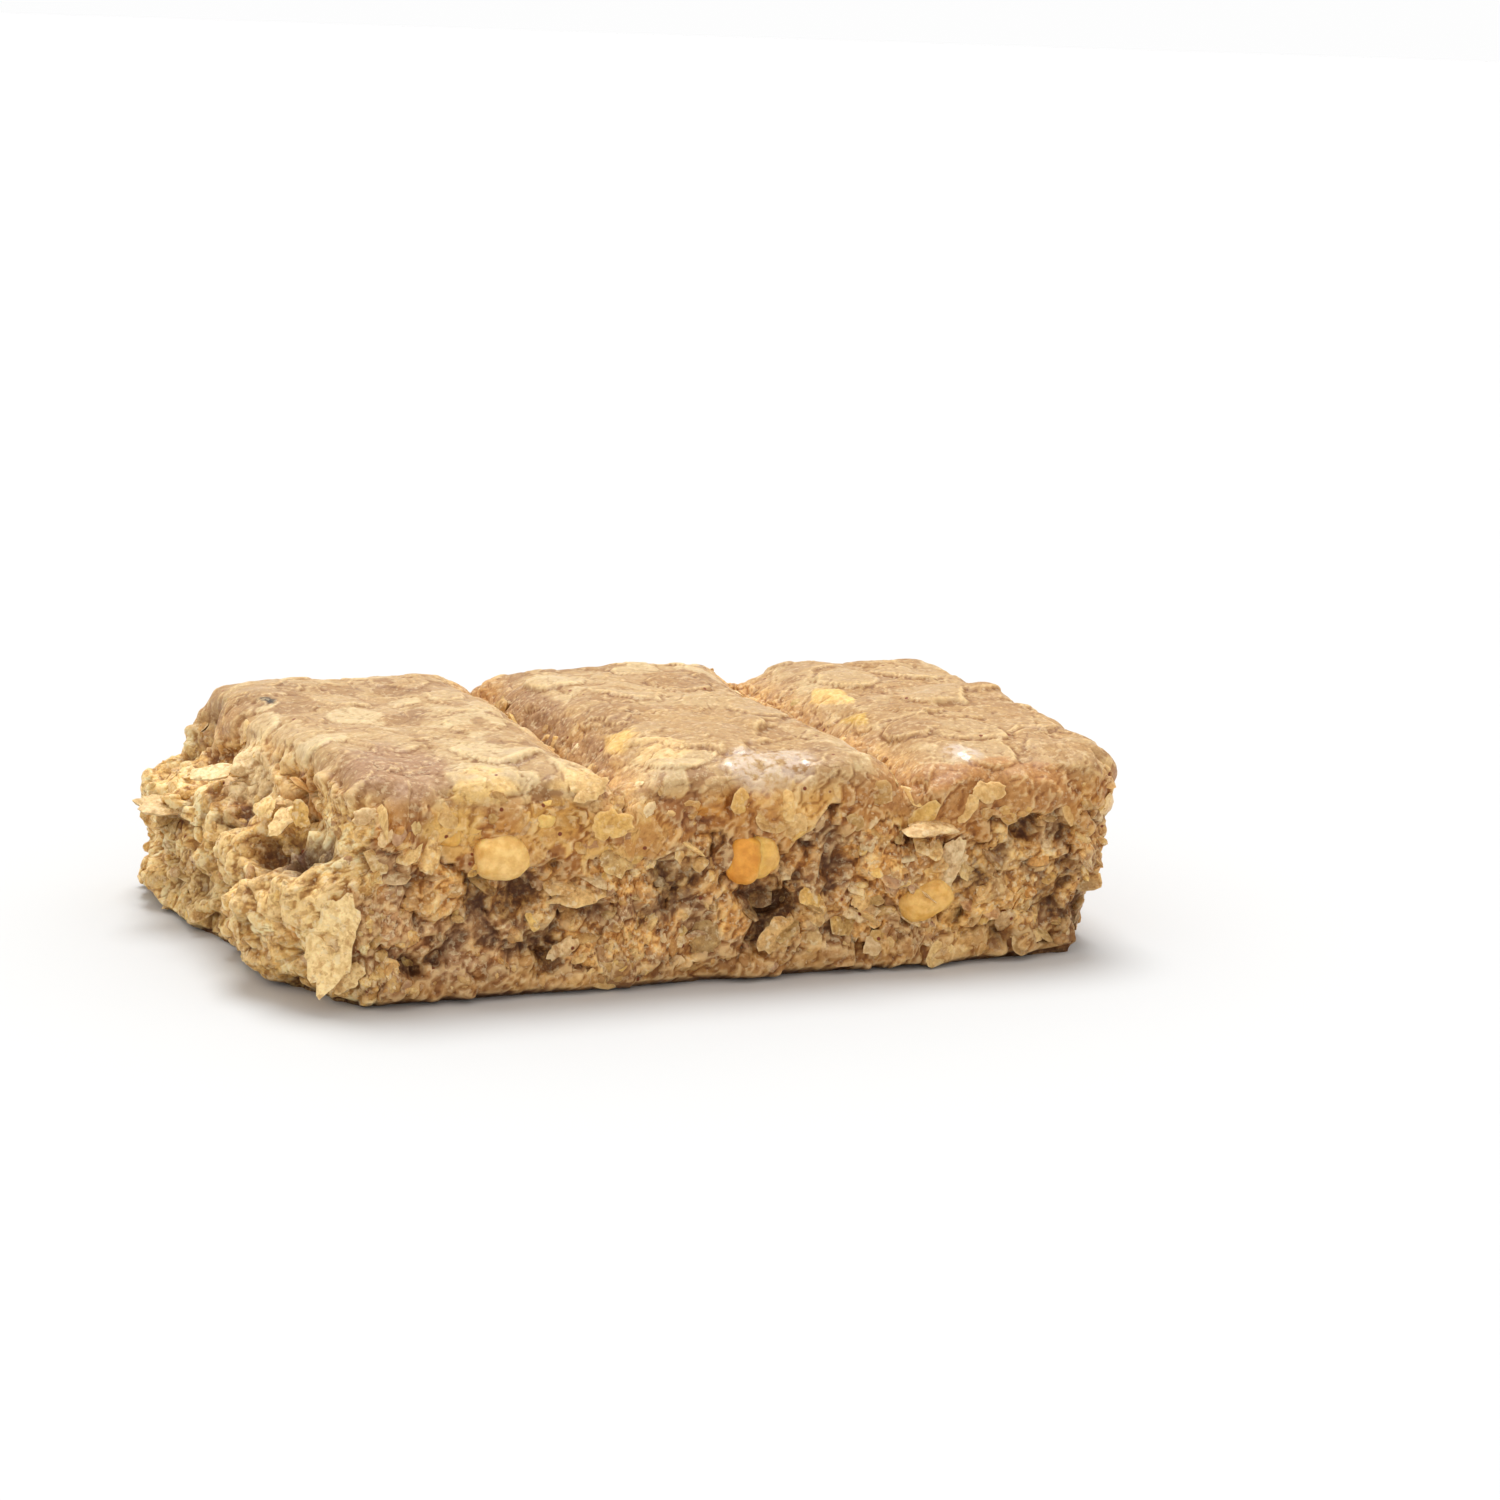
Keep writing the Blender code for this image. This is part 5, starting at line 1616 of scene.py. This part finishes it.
class Nodes:
    """A material's node tree, with a short call for each kind of node that the finishes use."""

    def __init__(self, name: str) -> None:
        """Starts an empty Principled material whose patterns read Object coordinates."""
        self.material = bpy.data.materials.new(name)
        self.material.use_nodes = True
        self.tree = self.material.node_tree
        self.shader = self.tree.nodes["Principled BSDF"]
        self.place = self.tree.nodes.new("ShaderNodeTexCoord").outputs["Object"]

    def add(self, kind: str, inputs: dict, **settings) -> bpy.types.Node:
        """Adds a node.

        Args:
            kind: The node's type.
            inputs: Values or sockets for its inputs, by name or number.
            settings: Its other properties.

        Returns:
            The node.
        """
        node = self.tree.nodes.new(kind)
        for key, value in settings.items():
            setattr(node, key, value)
        for key, value in inputs.items():
            if isinstance(value, Socket):
                self.tree.links.new(value, node.inputs[key])
            else:
                node.inputs[key].default_value = value
        return node

    def noise(self, size: float, detail: float = 3.0, at: object = None) -> Socket:
        """Fractal noise from 0 to 1 with features of the given size."""
        inputs = {"Vector": at or self.place, "Scale": 1.0 / size, "Detail": detail, "Roughness": 0.6}
        return self.add("ShaderNodeTexNoise", inputs).outputs["Fac"]

    def warp(self, size: float, reach: float) -> Socket:
        """Object coordinates moved about by noise, by up to half the reach each way."""
        inputs = {"Vector": self.place, "Scale": 1.0 / size, "Detail": 2.0}
        shift = self.add("ShaderNodeTexNoise", inputs).outputs["Color"]
        middle = self.vector("SUBTRACT", shift, (0.5, 0.5, 0.5))
        scaled = self.add("ShaderNodeVectorMath", {0: middle, "Scale": reach}, operation="SCALE")
        return self.vector("ADD", self.place, scaled.outputs[0])

    def vector(self, operation: str, first: object, second: object) -> Socket:
        """A sum or other operation of two vectors."""
        return self.add("ShaderNodeVectorMath", {0: first, 1: second}, operation=operation).outputs[0]

    def cells(self, size: float, at: object, feature: str = "F1") -> bpy.types.Node:
        """A Voronoi pattern with cells of the given size."""
        inputs = {"Vector": at, "Scale": 1.0 / size}
        return self.add("ShaderNodeTexVoronoi", inputs, feature=feature)

    def cell_numbers(self, cells: bpy.types.Node) -> tuple[Socket, ...]:
        """Three random numbers for each cell of a Voronoi pattern."""
        return tuple(self.add("ShaderNodeSeparateColor", {0: cells.outputs["Color"]}).outputs)

    def math(self, operation: str, first: object, second: object) -> Socket:
        """A sum or other operation of two numbers, kept from 0 to 1."""
        node = self.add("ShaderNodeMath", {0: first, 1: second}, operation=operation, use_clamp=True)
        return node.outputs[0]

    def product(self, first: object, second: object) -> Socket:
        """The product of two numbers, kept from 0 to 1."""
        return self.math("MULTIPLY", first, second)

    def blend(self, share: object, first: object, second: object) -> Socket:
        """Two numbers mixed by a share."""
        return self.add("ShaderNodeMix", {0: share, 2: first, 3: second}).outputs[0]

    def span(self, value: object, low: float, high: float, to: Range = (0.0, 1.0)) -> Socket:
        """A value carried smoothly from one span onto another."""
        inputs = {"Value": value, "From Min": low, "From Max": high, "To Min": to[0], "To Max": to[1]}
        return self.add("ShaderNodeMapRange", inputs, interpolation_type="SMOOTHSTEP").outputs[0]

    def ramp(self, value: object, stops: Stops) -> Socket:
        """A colour for each value, blended between the stops."""
        node = self.add("ShaderNodeValToRGB", {"Fac": value})
        ramp = node.color_ramp
        while len(ramp.elements) < len(stops):
            ramp.elements.new(0.5)
        for element, (place, colour) in zip(ramp.elements, stops):
            element.position = place
            element.color = (*colour, 1.0)
        return node.outputs["Color"]

    def mix(self, share: object, first: object, second: object, blend: str = "MIX") -> Socket:
        """Two colours mixed by a share."""
        first, second = ((*c, 1.0) if isinstance(c, tuple) else c for c in (first, second))
        inputs = {0: share, 6: first, 7: second}
        return self.add("ShaderNodeMix", inputs, data_type="RGBA", blend_type=blend).outputs[2]

    def channels(self, name: str) -> tuple[Socket, ...]:
        """The three values of one of the mesh's attributes."""
        colour = self.add("ShaderNodeAttribute", {}, attribute_name=name).outputs["Color"]
        return tuple(self.add("ShaderNodeSeparateColor", {0: colour}).outputs)

    def bump(self, height: object, depth: float, strength: object, under: object = None) -> Socket:
        """A normal tilted by a height, over another normal if one is given."""
        inputs = {"Height": height, "Distance": depth, "Strength": strength}
        if under is not None:
            inputs["Normal"] = under
        return self.add("ShaderNodeBump", inputs).outputs["Normal"]

    def finish(
        self, colour: Socket, roughness: Socket, normal: Socket, **constants: object
    ) -> bpy.types.Material:
        """Joins the patterns to the shader.

        Args:
            colour: The base colour.
            roughness: The roughness.
            normal: The surface's normal.
            constants: Values of other shader sockets, by name with _ for a space.

        Returns:
            The finished material.
        """
        for name, socket in (("Base Color", colour), ("Roughness", roughness), ("Normal", normal)):
            self.tree.links.new(socket, self.shader.inputs[name])
        for name, value in constants.items():
            target = self.shader.inputs[name.replace("_", " ")]
            if isinstance(value, Socket):
                self.tree.links.new(value, target)
            else:
                target.default_value = value
        return self.material


@dataclass(frozen=True)
class OatFinish:
    """Pressed oats and syrup: a smooth tan skin over the pillows, mottled grain in the sides and the tear."""

    top: Stops = (
        (0.0, (0.313, 0.167, 0.063)),
        (0.3, (0.406, 0.241, 0.101)),
        (0.65, (0.484, 0.313, 0.141)),
        (1.0, (0.591, 0.437, 0.231)),
    )
    lip: Stops = (
        (0.0, (0.306, 0.11, 0.022)),
        (0.35, (0.45, 0.185, 0.037)),
        (0.7, (0.567, 0.27, 0.063)),
        (1.0, (0.738, 0.438, 0.133)),
    )
    crumb: Stops = (
        (0.0, (0.225, 0.082, 0.022)),
        (0.25, (0.45, 0.19, 0.05)),
        (0.5, (0.70, 0.34, 0.09)),
        (0.72, (0.93, 0.54, 0.17)),
        (0.95, (1.0, 0.75, 0.35)),
    )
    torn: Stops = (
        (0.0, (0.21, 0.08, 0.02)),
        (0.28, (0.52, 0.26, 0.066)),
        (0.55, (0.88, 0.56, 0.185)),
        (0.82, (1.0, 0.87, 0.50)),
    )
    base: Stops = (
        (0.0, (0.272, 0.118, 0.035)),
        (0.4, (0.423, 0.202, 0.06)),
        (0.8, (0.584, 0.314, 0.099)),
        (1.0, (0.765, 0.477, 0.18)),
    )
    # painted shade: the colour that hollows, groove bottoms and the undercut are darkened toward
    painted_shade_colour: Colour = (0.07, 0.024, 0.008)
    paste: Colour = (0.385, 0.21, 0.10)
    crack: Colour = (0.42, 0.24, 0.12)  # what a crack leaves of the colour
    # painted highlight on high crags
    raised: Colour = (0.95, 0.72, 0.36)
    # painted sheen on the syrup patches
    painted_sheen: Colour = (0.80, 0.66, 0.55)
    crease: Colour = (0.55, 0.40, 0.26)  # painted shade in creases, and the noise's darker mottle: what each leaves of the colour
    # painted highlight on ridges
    ridge: Colour = (0.92, 0.68, 0.34)
    speck: Colour = (0.20, 0.045, 0.014)
    husk: Colour = (0.88, 0.70, 0.42)
    highlight_mottle: Stops = ((0.3, (0.7, 0.6, 0.45)), (0.6, (1.0, 1.0, 1.0)))
    tint_mottle: Stops = ((0.0, (0.68, 0.57, 0.42)), (1.0, (1.12, 1.14, 1.16)))
    warp_size: float = 1.5 * MM  # of the noise that strays the patterns, by the two reaches
    far_warp: float = 0.9 * MM
    near_warp: float = 0.25 * MM
    cell: float = 1.25 * MM
    speckle: float = 0.32 * MM  # sizes of the patterns' features
    blot: float = 0.8 * MM
    broad: float = 2.6 * MM
    smear: float = 3.0 * MM  # of paste
    fleck: float = 0.5 * MM  # of husk
    shade: float = 0.6 * MM
    slab: float = 2.3 * MM  # between cracks
    gate: float = 1.6 * MM  # of the cracks that show
    dot: float = 1.7 * MM  # from speck to speck
    pore: float = 0.7 * MM
    dull: float = 2.5 * MM  # of the roughness
    pore_depth: float = 0.28 * MM
    crack_depth: float = 0.12 * MM
    # how dark the creases are painted in shade
    crease_shade_share: float = 0.8
    painted_sheen_share: float = 0.38
    roughness: Range = (0.42, 0.68)
    coat_roughness: float = 0.22
    specular: float = 0.25
    subsurface: float = 0.1
    reach: Colour = (1.0, 0.5, 0.2)  # how far red, green and blue light stray, as shares of the depth
    depth: float = 0.5 * MM

    def make(self) -> bpy.types.Material:
        """Makes the material.

        One tone, mixed from flakes, grain, cells and noise, picks each zone's colour from its own stops.
        Tints lie over that. Hollows, creases and cracks are darker, ridges lighter, and specks are scattered.

        Returns:
            The material.
        """
        nodes = Nodes("pressed_oats")
        crumb, torn, _ = nodes.channels("zone")
        lip, base, high = nodes.channels("spread")
        flake, grain, _ = nodes.channels("grain")
        # painted shade, the edge by which ridges and creases are painted, and the gloss
        deep, edge, gloss = nodes.channels("relief")
        warped = nodes.warp(self.warp_size, self.far_warp)
        bent = nodes.warp(self.warp_size, self.near_warp)
        cell_tone = nodes.cell_numbers(nodes.cells(self.cell, warped))[0]
        speckle = nodes.noise(self.speckle, 5.0)
        blots = nodes.noise(self.blot, 5.0, bent)
        broad = nodes.noise(self.broad, 6.0)

        patches = nodes.blend(0.4, flake, nodes.blend(0.5, cell_tone, grain))
        fine = nodes.blend(0.5, speckle, blots)
        tone = nodes.blend(0.42, nodes.span(patches, 0.1, 0.9), nodes.span(fine, 0.34, 0.66))
        soft_tone = nodes.span(nodes.blend(0.4, nodes.blend(0.62, broad, flake), fine), 0.3, 0.7)

        colour = nodes.ramp(soft_tone, self.top)
        colour = nodes.mix(lip, colour, nodes.ramp(soft_tone, self.lip))
        colour = nodes.mix(crumb, colour, nodes.ramp(tone, self.crumb))
        colour = nodes.mix(base, colour, nodes.ramp(soft_tone, self.base))
        colour = nodes.mix(torn, colour, nodes.ramp(tone, self.torn))
        paste = nodes.span(nodes.noise(self.smear, 4.0, warped), 0.46, 0.58)
        colour = nodes.mix(nodes.product(paste, nodes.blend(crumb, 0.15, 0.8)), colour, self.paste)

        # High crags of the crumb and the tear get a painted highlight.
        highlight_tint = nodes.mix(1.0, self.raised, nodes.ramp(fine, self.highlight_mottle), "MULTIPLY")
        colour = nodes.mix(nodes.product(high, nodes.blend(torn, 0.25, 0.6)), colour, highlight_tint)
        tint = nodes.add("ShaderNodeAttribute", {}, attribute_name="tint")
        mottle = nodes.ramp(nodes.span(fine, 0.32, 0.68), self.tint_mottle)
        tinted = nodes.mix(1.0, tint.outputs["Color"], mottle, "MULTIPLY")
        colour = nodes.mix(tint.outputs["Alpha"], colour, tinted)

        # Ridges are painted lighter as a highlight, and creases darker as painted shade.
        colour = nodes.mix(nodes.span(edge, 0.55, 1.0, (0.0, 0.4)), colour, self.ridge)
        loose = nodes.math("ADD", crumb, torn)
        shade_in_creases = nodes.product(nodes.span(edge, 0.5, 0.1), self.crease_shade_share)
        colour = nodes.mix(shade_in_creases, colour, self.crease, "MULTIPLY")
        fleck = nodes.span(nodes.noise(self.fleck, 5.0, bent), 0.55, 0.61)
        colour = nodes.mix(nodes.product(fleck, nodes.blend(loose, 0.25, 0.55)), colour, self.husk)
        shade = nodes.span(nodes.noise(self.shade, 5.0), 0.46, 0.38)
        shade = nodes.product(shade, nodes.blend(loose, 0.3, 0.6))
        colour = nodes.mix(shade, colour, self.crease, "MULTIPLY")
        cracks = nodes.cells(self.slab, warped, "DISTANCE_TO_EDGE").outputs["Distance"]
        gate = nodes.span(nodes.noise(self.gate, 3.0), 0.52, 0.58)
        line = nodes.product(nodes.span(cracks, 0.05, 0.01), gate)
        line = nodes.product(line, nodes.blend(loose, 0.3, 0.0))
        colour = nodes.mix(line, colour, self.crack, "MULTIPLY")
        # Painted shade in hollows, groove bottoms and under the base's edge.
        deep = nodes.product(deep, nodes.span(fine, 0.42, 0.6, (0.95, 0.62)))
        colour = nodes.mix(deep, colour, self.painted_shade_colour)
        # Syrup patches: a real coat, and a painted sheen mixed into the colour.
        shine = nodes.product(nodes.span(gloss, 0.25, 0.8), nodes.span(blots, 0.38, 0.56))
        colour = nodes.mix(nodes.product(shine, self.painted_sheen_share), colour, self.painted_sheen)
        dots = nodes.cells(self.dot, nodes.place)
        chosen = nodes.span(nodes.cell_numbers(dots)[1], 0.66, 0.68)
        is_speck = nodes.product(nodes.span(dots.outputs["Distance"], 0.11, 0.07), chosen)
        colour = nodes.mix(is_speck, colour, self.speck)

        strength = nodes.span(loose, 0.0, 1.0, (0.3, 1.0))
        pores = nodes.blend(0.3, nodes.noise(self.pore, 6.0, bent), speckle)
        normal = nodes.bump(pores, self.pore_depth, strength)
        normal = nodes.bump(nodes.span(line, 0.0, 1.0, (1.0, 0.0)), self.crack_depth, 0.8, normal)
        return nodes.finish(
            colour,
            nodes.span(nodes.noise(self.dull, 4.0), 0.35, 0.7, self.roughness),
            normal,
            Coat_Weight=shine,
            Coat_Roughness=self.coat_roughness,
            Specular_IOR_Level=self.specular,
            Subsurface_Weight=self.subsurface,
            Subsurface_Radius=self.reach,
            Subsurface_Scale=self.depth,
        )


@dataclass(frozen=True)
class NutFinish:
    """Roasted nut: its own tint under a darker mottle, faintly translucent."""

    mottle: float = 0.7 * MM  # sizes of the patterns' features
    patch: float = 2.4 * MM
    grain: float = 0.4 * MM
    dull: float = 2.0 * MM
    dark: Colour = (0.80, 0.68, 0.48)  # the mottle's two shades, as shares of the tint
    light: Colour = (1.04, 1.04, 1.06)
    paler_share: float = 0.35
    roughness: Range = (0.5, 0.7)
    subsurface: float = 0.3
    reach: Colour = (1.0, 0.6, 0.25)
    depth: float = 0.8 * MM
    grain_depth: float = 0.2 * MM

    def make(self) -> bpy.types.Material:
        """Makes the material: the tint under a darker mottle, and a bump from the same noise.

        Returns:
            The material.
        """
        nodes = Nodes("nut")
        tint = nodes.add("ShaderNodeAttribute", {}, attribute_name="tint").outputs["Color"]
        speckle = nodes.noise(self.mottle, 5.0)
        shade = nodes.ramp(nodes.span(speckle, 0.3, 0.7), ((0.0, self.dark), (1.0, self.light)))
        patches = nodes.span(nodes.noise(self.patch, 3.0), 0.45, 0.6, (0.0, self.paler_share))
        paler = nodes.mix(patches, tint, Tint.CREAM.value)
        colour = nodes.mix(1.0, paler, shade, "MULTIPLY")
        normal = nodes.bump(nodes.noise(self.grain, 4.0), self.grain_depth, 0.6)
        roughness = nodes.span(nodes.noise(self.dull, 2.0), 0.3, 0.7, self.roughness)
        return nodes.finish(
            colour,
            roughness,
            normal,
            Subsurface_Weight=self.subsurface,
            Subsurface_Radius=self.reach,
            Subsurface_Scale=self.depth,
        )


@dataclass(frozen=True)
class Studio:
    """A white floor and sky, a soft sun and the camera, placed as in the photograph."""

    target: Lengths = mm(10.81, 0.0, 12.50)
    distance: float = 247.335 * MM
    pitch: float = 12.658  # degrees, as the two below
    yaw: float = -20.995
    roll: float = 1.911
    lens: float = 76.8
    sensor: float = 36.0
    nearest: float = 1.0 * MM  # where the camera's view begins
    floor_size: float = 60.0
    floor_colour: Colour = (0.60, 0.60, 0.60)
    floor_roughness: float = 0.95
    floor_specular: float = 0.1
    horizon: Colour = (0.985, 0.985, 0.985)  # the sky's lowest band
    sky: Colour = (0.985, 0.95, 0.91)  # and the sky above it
    horizon_span: Range = (0.03, 0.1)  # heights between which the one passes into the other
    sun_from: Direction = (0.06, 0.32, 0.94)
    sun_power: float = 2.4
    sun_spread: float = 32.0
    sun_colour: Colour = (1.0, 1.05, 1.09)

    def build(self) -> None:
        """Puts the floor, the sky, the lamps and the camera in the scene."""
        self.add_floor()
        self.add_sky()
        self.add_sun()
        self.add_camera()
        bpy.context.scene.view_settings.view_transform = "Standard"

    def add_floor(self) -> None:
        """Adds the floor: one square grid of four faces under the bar."""
        mesh = bpy.data.meshes.new("floor")
        span = 0.5 * self.floor_size * np.array([-1.0, 0.0, 1.0])
        x, y = np.meshgrid(span, span, indexing="ij")
        index = np.arange(9).reshape(3, 3)
        places = np.stack([x, y, np.zeros_like(x)], axis=-1).reshape(-1, 3)
        mesh.from_pydata(places.tolist(), [], grid_quads(index).tolist())
        floor = bpy.data.objects.new("floor", mesh)
        bpy.context.scene.collection.objects.link(floor)
        material = bpy.data.materials.new("floor")
        material.use_nodes = True
        shader = material.node_tree.nodes["Principled BSDF"]
        shader.inputs["Base Color"].default_value = (*self.floor_colour, 1.0)
        shader.inputs["Roughness"].default_value = self.floor_roughness
        shader.inputs["Specular IOR Level"].default_value = self.floor_specular
        mesh.materials.append(material)

    def add_sky(self) -> None:
        """Lights the scene from a pale sky, white at the horizon."""
        world = bpy.data.worlds.new("sky")
        world.use_nodes = True
        tree = world.node_tree
        ahead = tree.nodes.new("ShaderNodeTexCoord")
        parts = tree.nodes.new("ShaderNodeSeparateXYZ")
        ramp = tree.nodes.new("ShaderNodeValToRGB")
        bands = zip(ramp.color_ramp.elements, self.horizon_span, (self.horizon, self.sky))
        for element, place, colour in bands:
            element.position = place
            element.color = (*colour, 1.0)
        tree.links.new(ahead.outputs["Generated"], parts.inputs["Vector"])
        tree.links.new(parts.outputs["Z"], ramp.inputs["Fac"])
        tree.links.new(ramp.outputs["Color"], tree.nodes["Background"].inputs["Color"])
        bpy.context.scene.world = world

    def add_sun(self) -> None:
        """Adds a wide soft sun from the upper left."""
        sun = bpy.data.lights.new("sun", "SUN")
        sun.energy = self.sun_power
        sun.color = self.sun_colour
        sun.angle = math.radians(self.sun_spread)
        holder = bpy.data.objects.new("sun", sun)
        holder.rotation_euler = (-Vector(self.sun_from)).to_track_quat("-Z", "Y").to_euler()
        bpy.context.scene.collection.objects.link(holder)

    def add_camera(self) -> None:
        """Adds the camera, looking at its target along the photograph's line of sight."""
        pitch, yaw, roll = (math.radians(angle) for angle in (self.pitch, self.yaw, self.roll))
        across, along = math.sin(yaw) * math.cos(pitch), math.cos(yaw) * math.cos(pitch)
        ahead = Vector((-across, along, -math.sin(pitch)))
        level = Vector((math.cos(yaw), math.sin(yaw), 0.0))
        above = level.cross(ahead)
        right = level * math.cos(roll) + above * math.sin(roll)
        up = above * math.cos(roll) - level * math.sin(roll)
        data = bpy.data.cameras.new("camera")
        data.lens = self.lens
        data.sensor_width = self.sensor
        data.clip_start = self.nearest
        camera = bpy.data.objects.new("camera", data)
        camera.matrix_world = Matrix((right, up, -ahead)).transposed().to_4x4()
        camera.matrix_world.translation = Vector(self.target) - ahead * self.distance
        bpy.context.scene.collection.objects.link(camera)
        bpy.context.scene.camera = camera


def main() -> None:
    """Builds the bar, dresses it and sets up the studio."""
    logging.basicConfig(level=logging.INFO, format="%(message)s")
    rng = np.random.default_rng(SEED)
    oats = OatFinish().make()

    body, bed = OatMass(BarForm()).build(rng)
    body.data.materials.append(oats)
    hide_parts(NODE)
    for pieces in (ROLLED_OATS, LARGE_FLAKES, BROKEN_GRAIN):
        pieces.build(bed, rng).data.materials.append(oats)
    NutPieces().build().data.materials.append(NutFinish().make())

    Studio().build()


if __name__ == "__main__":
    main()
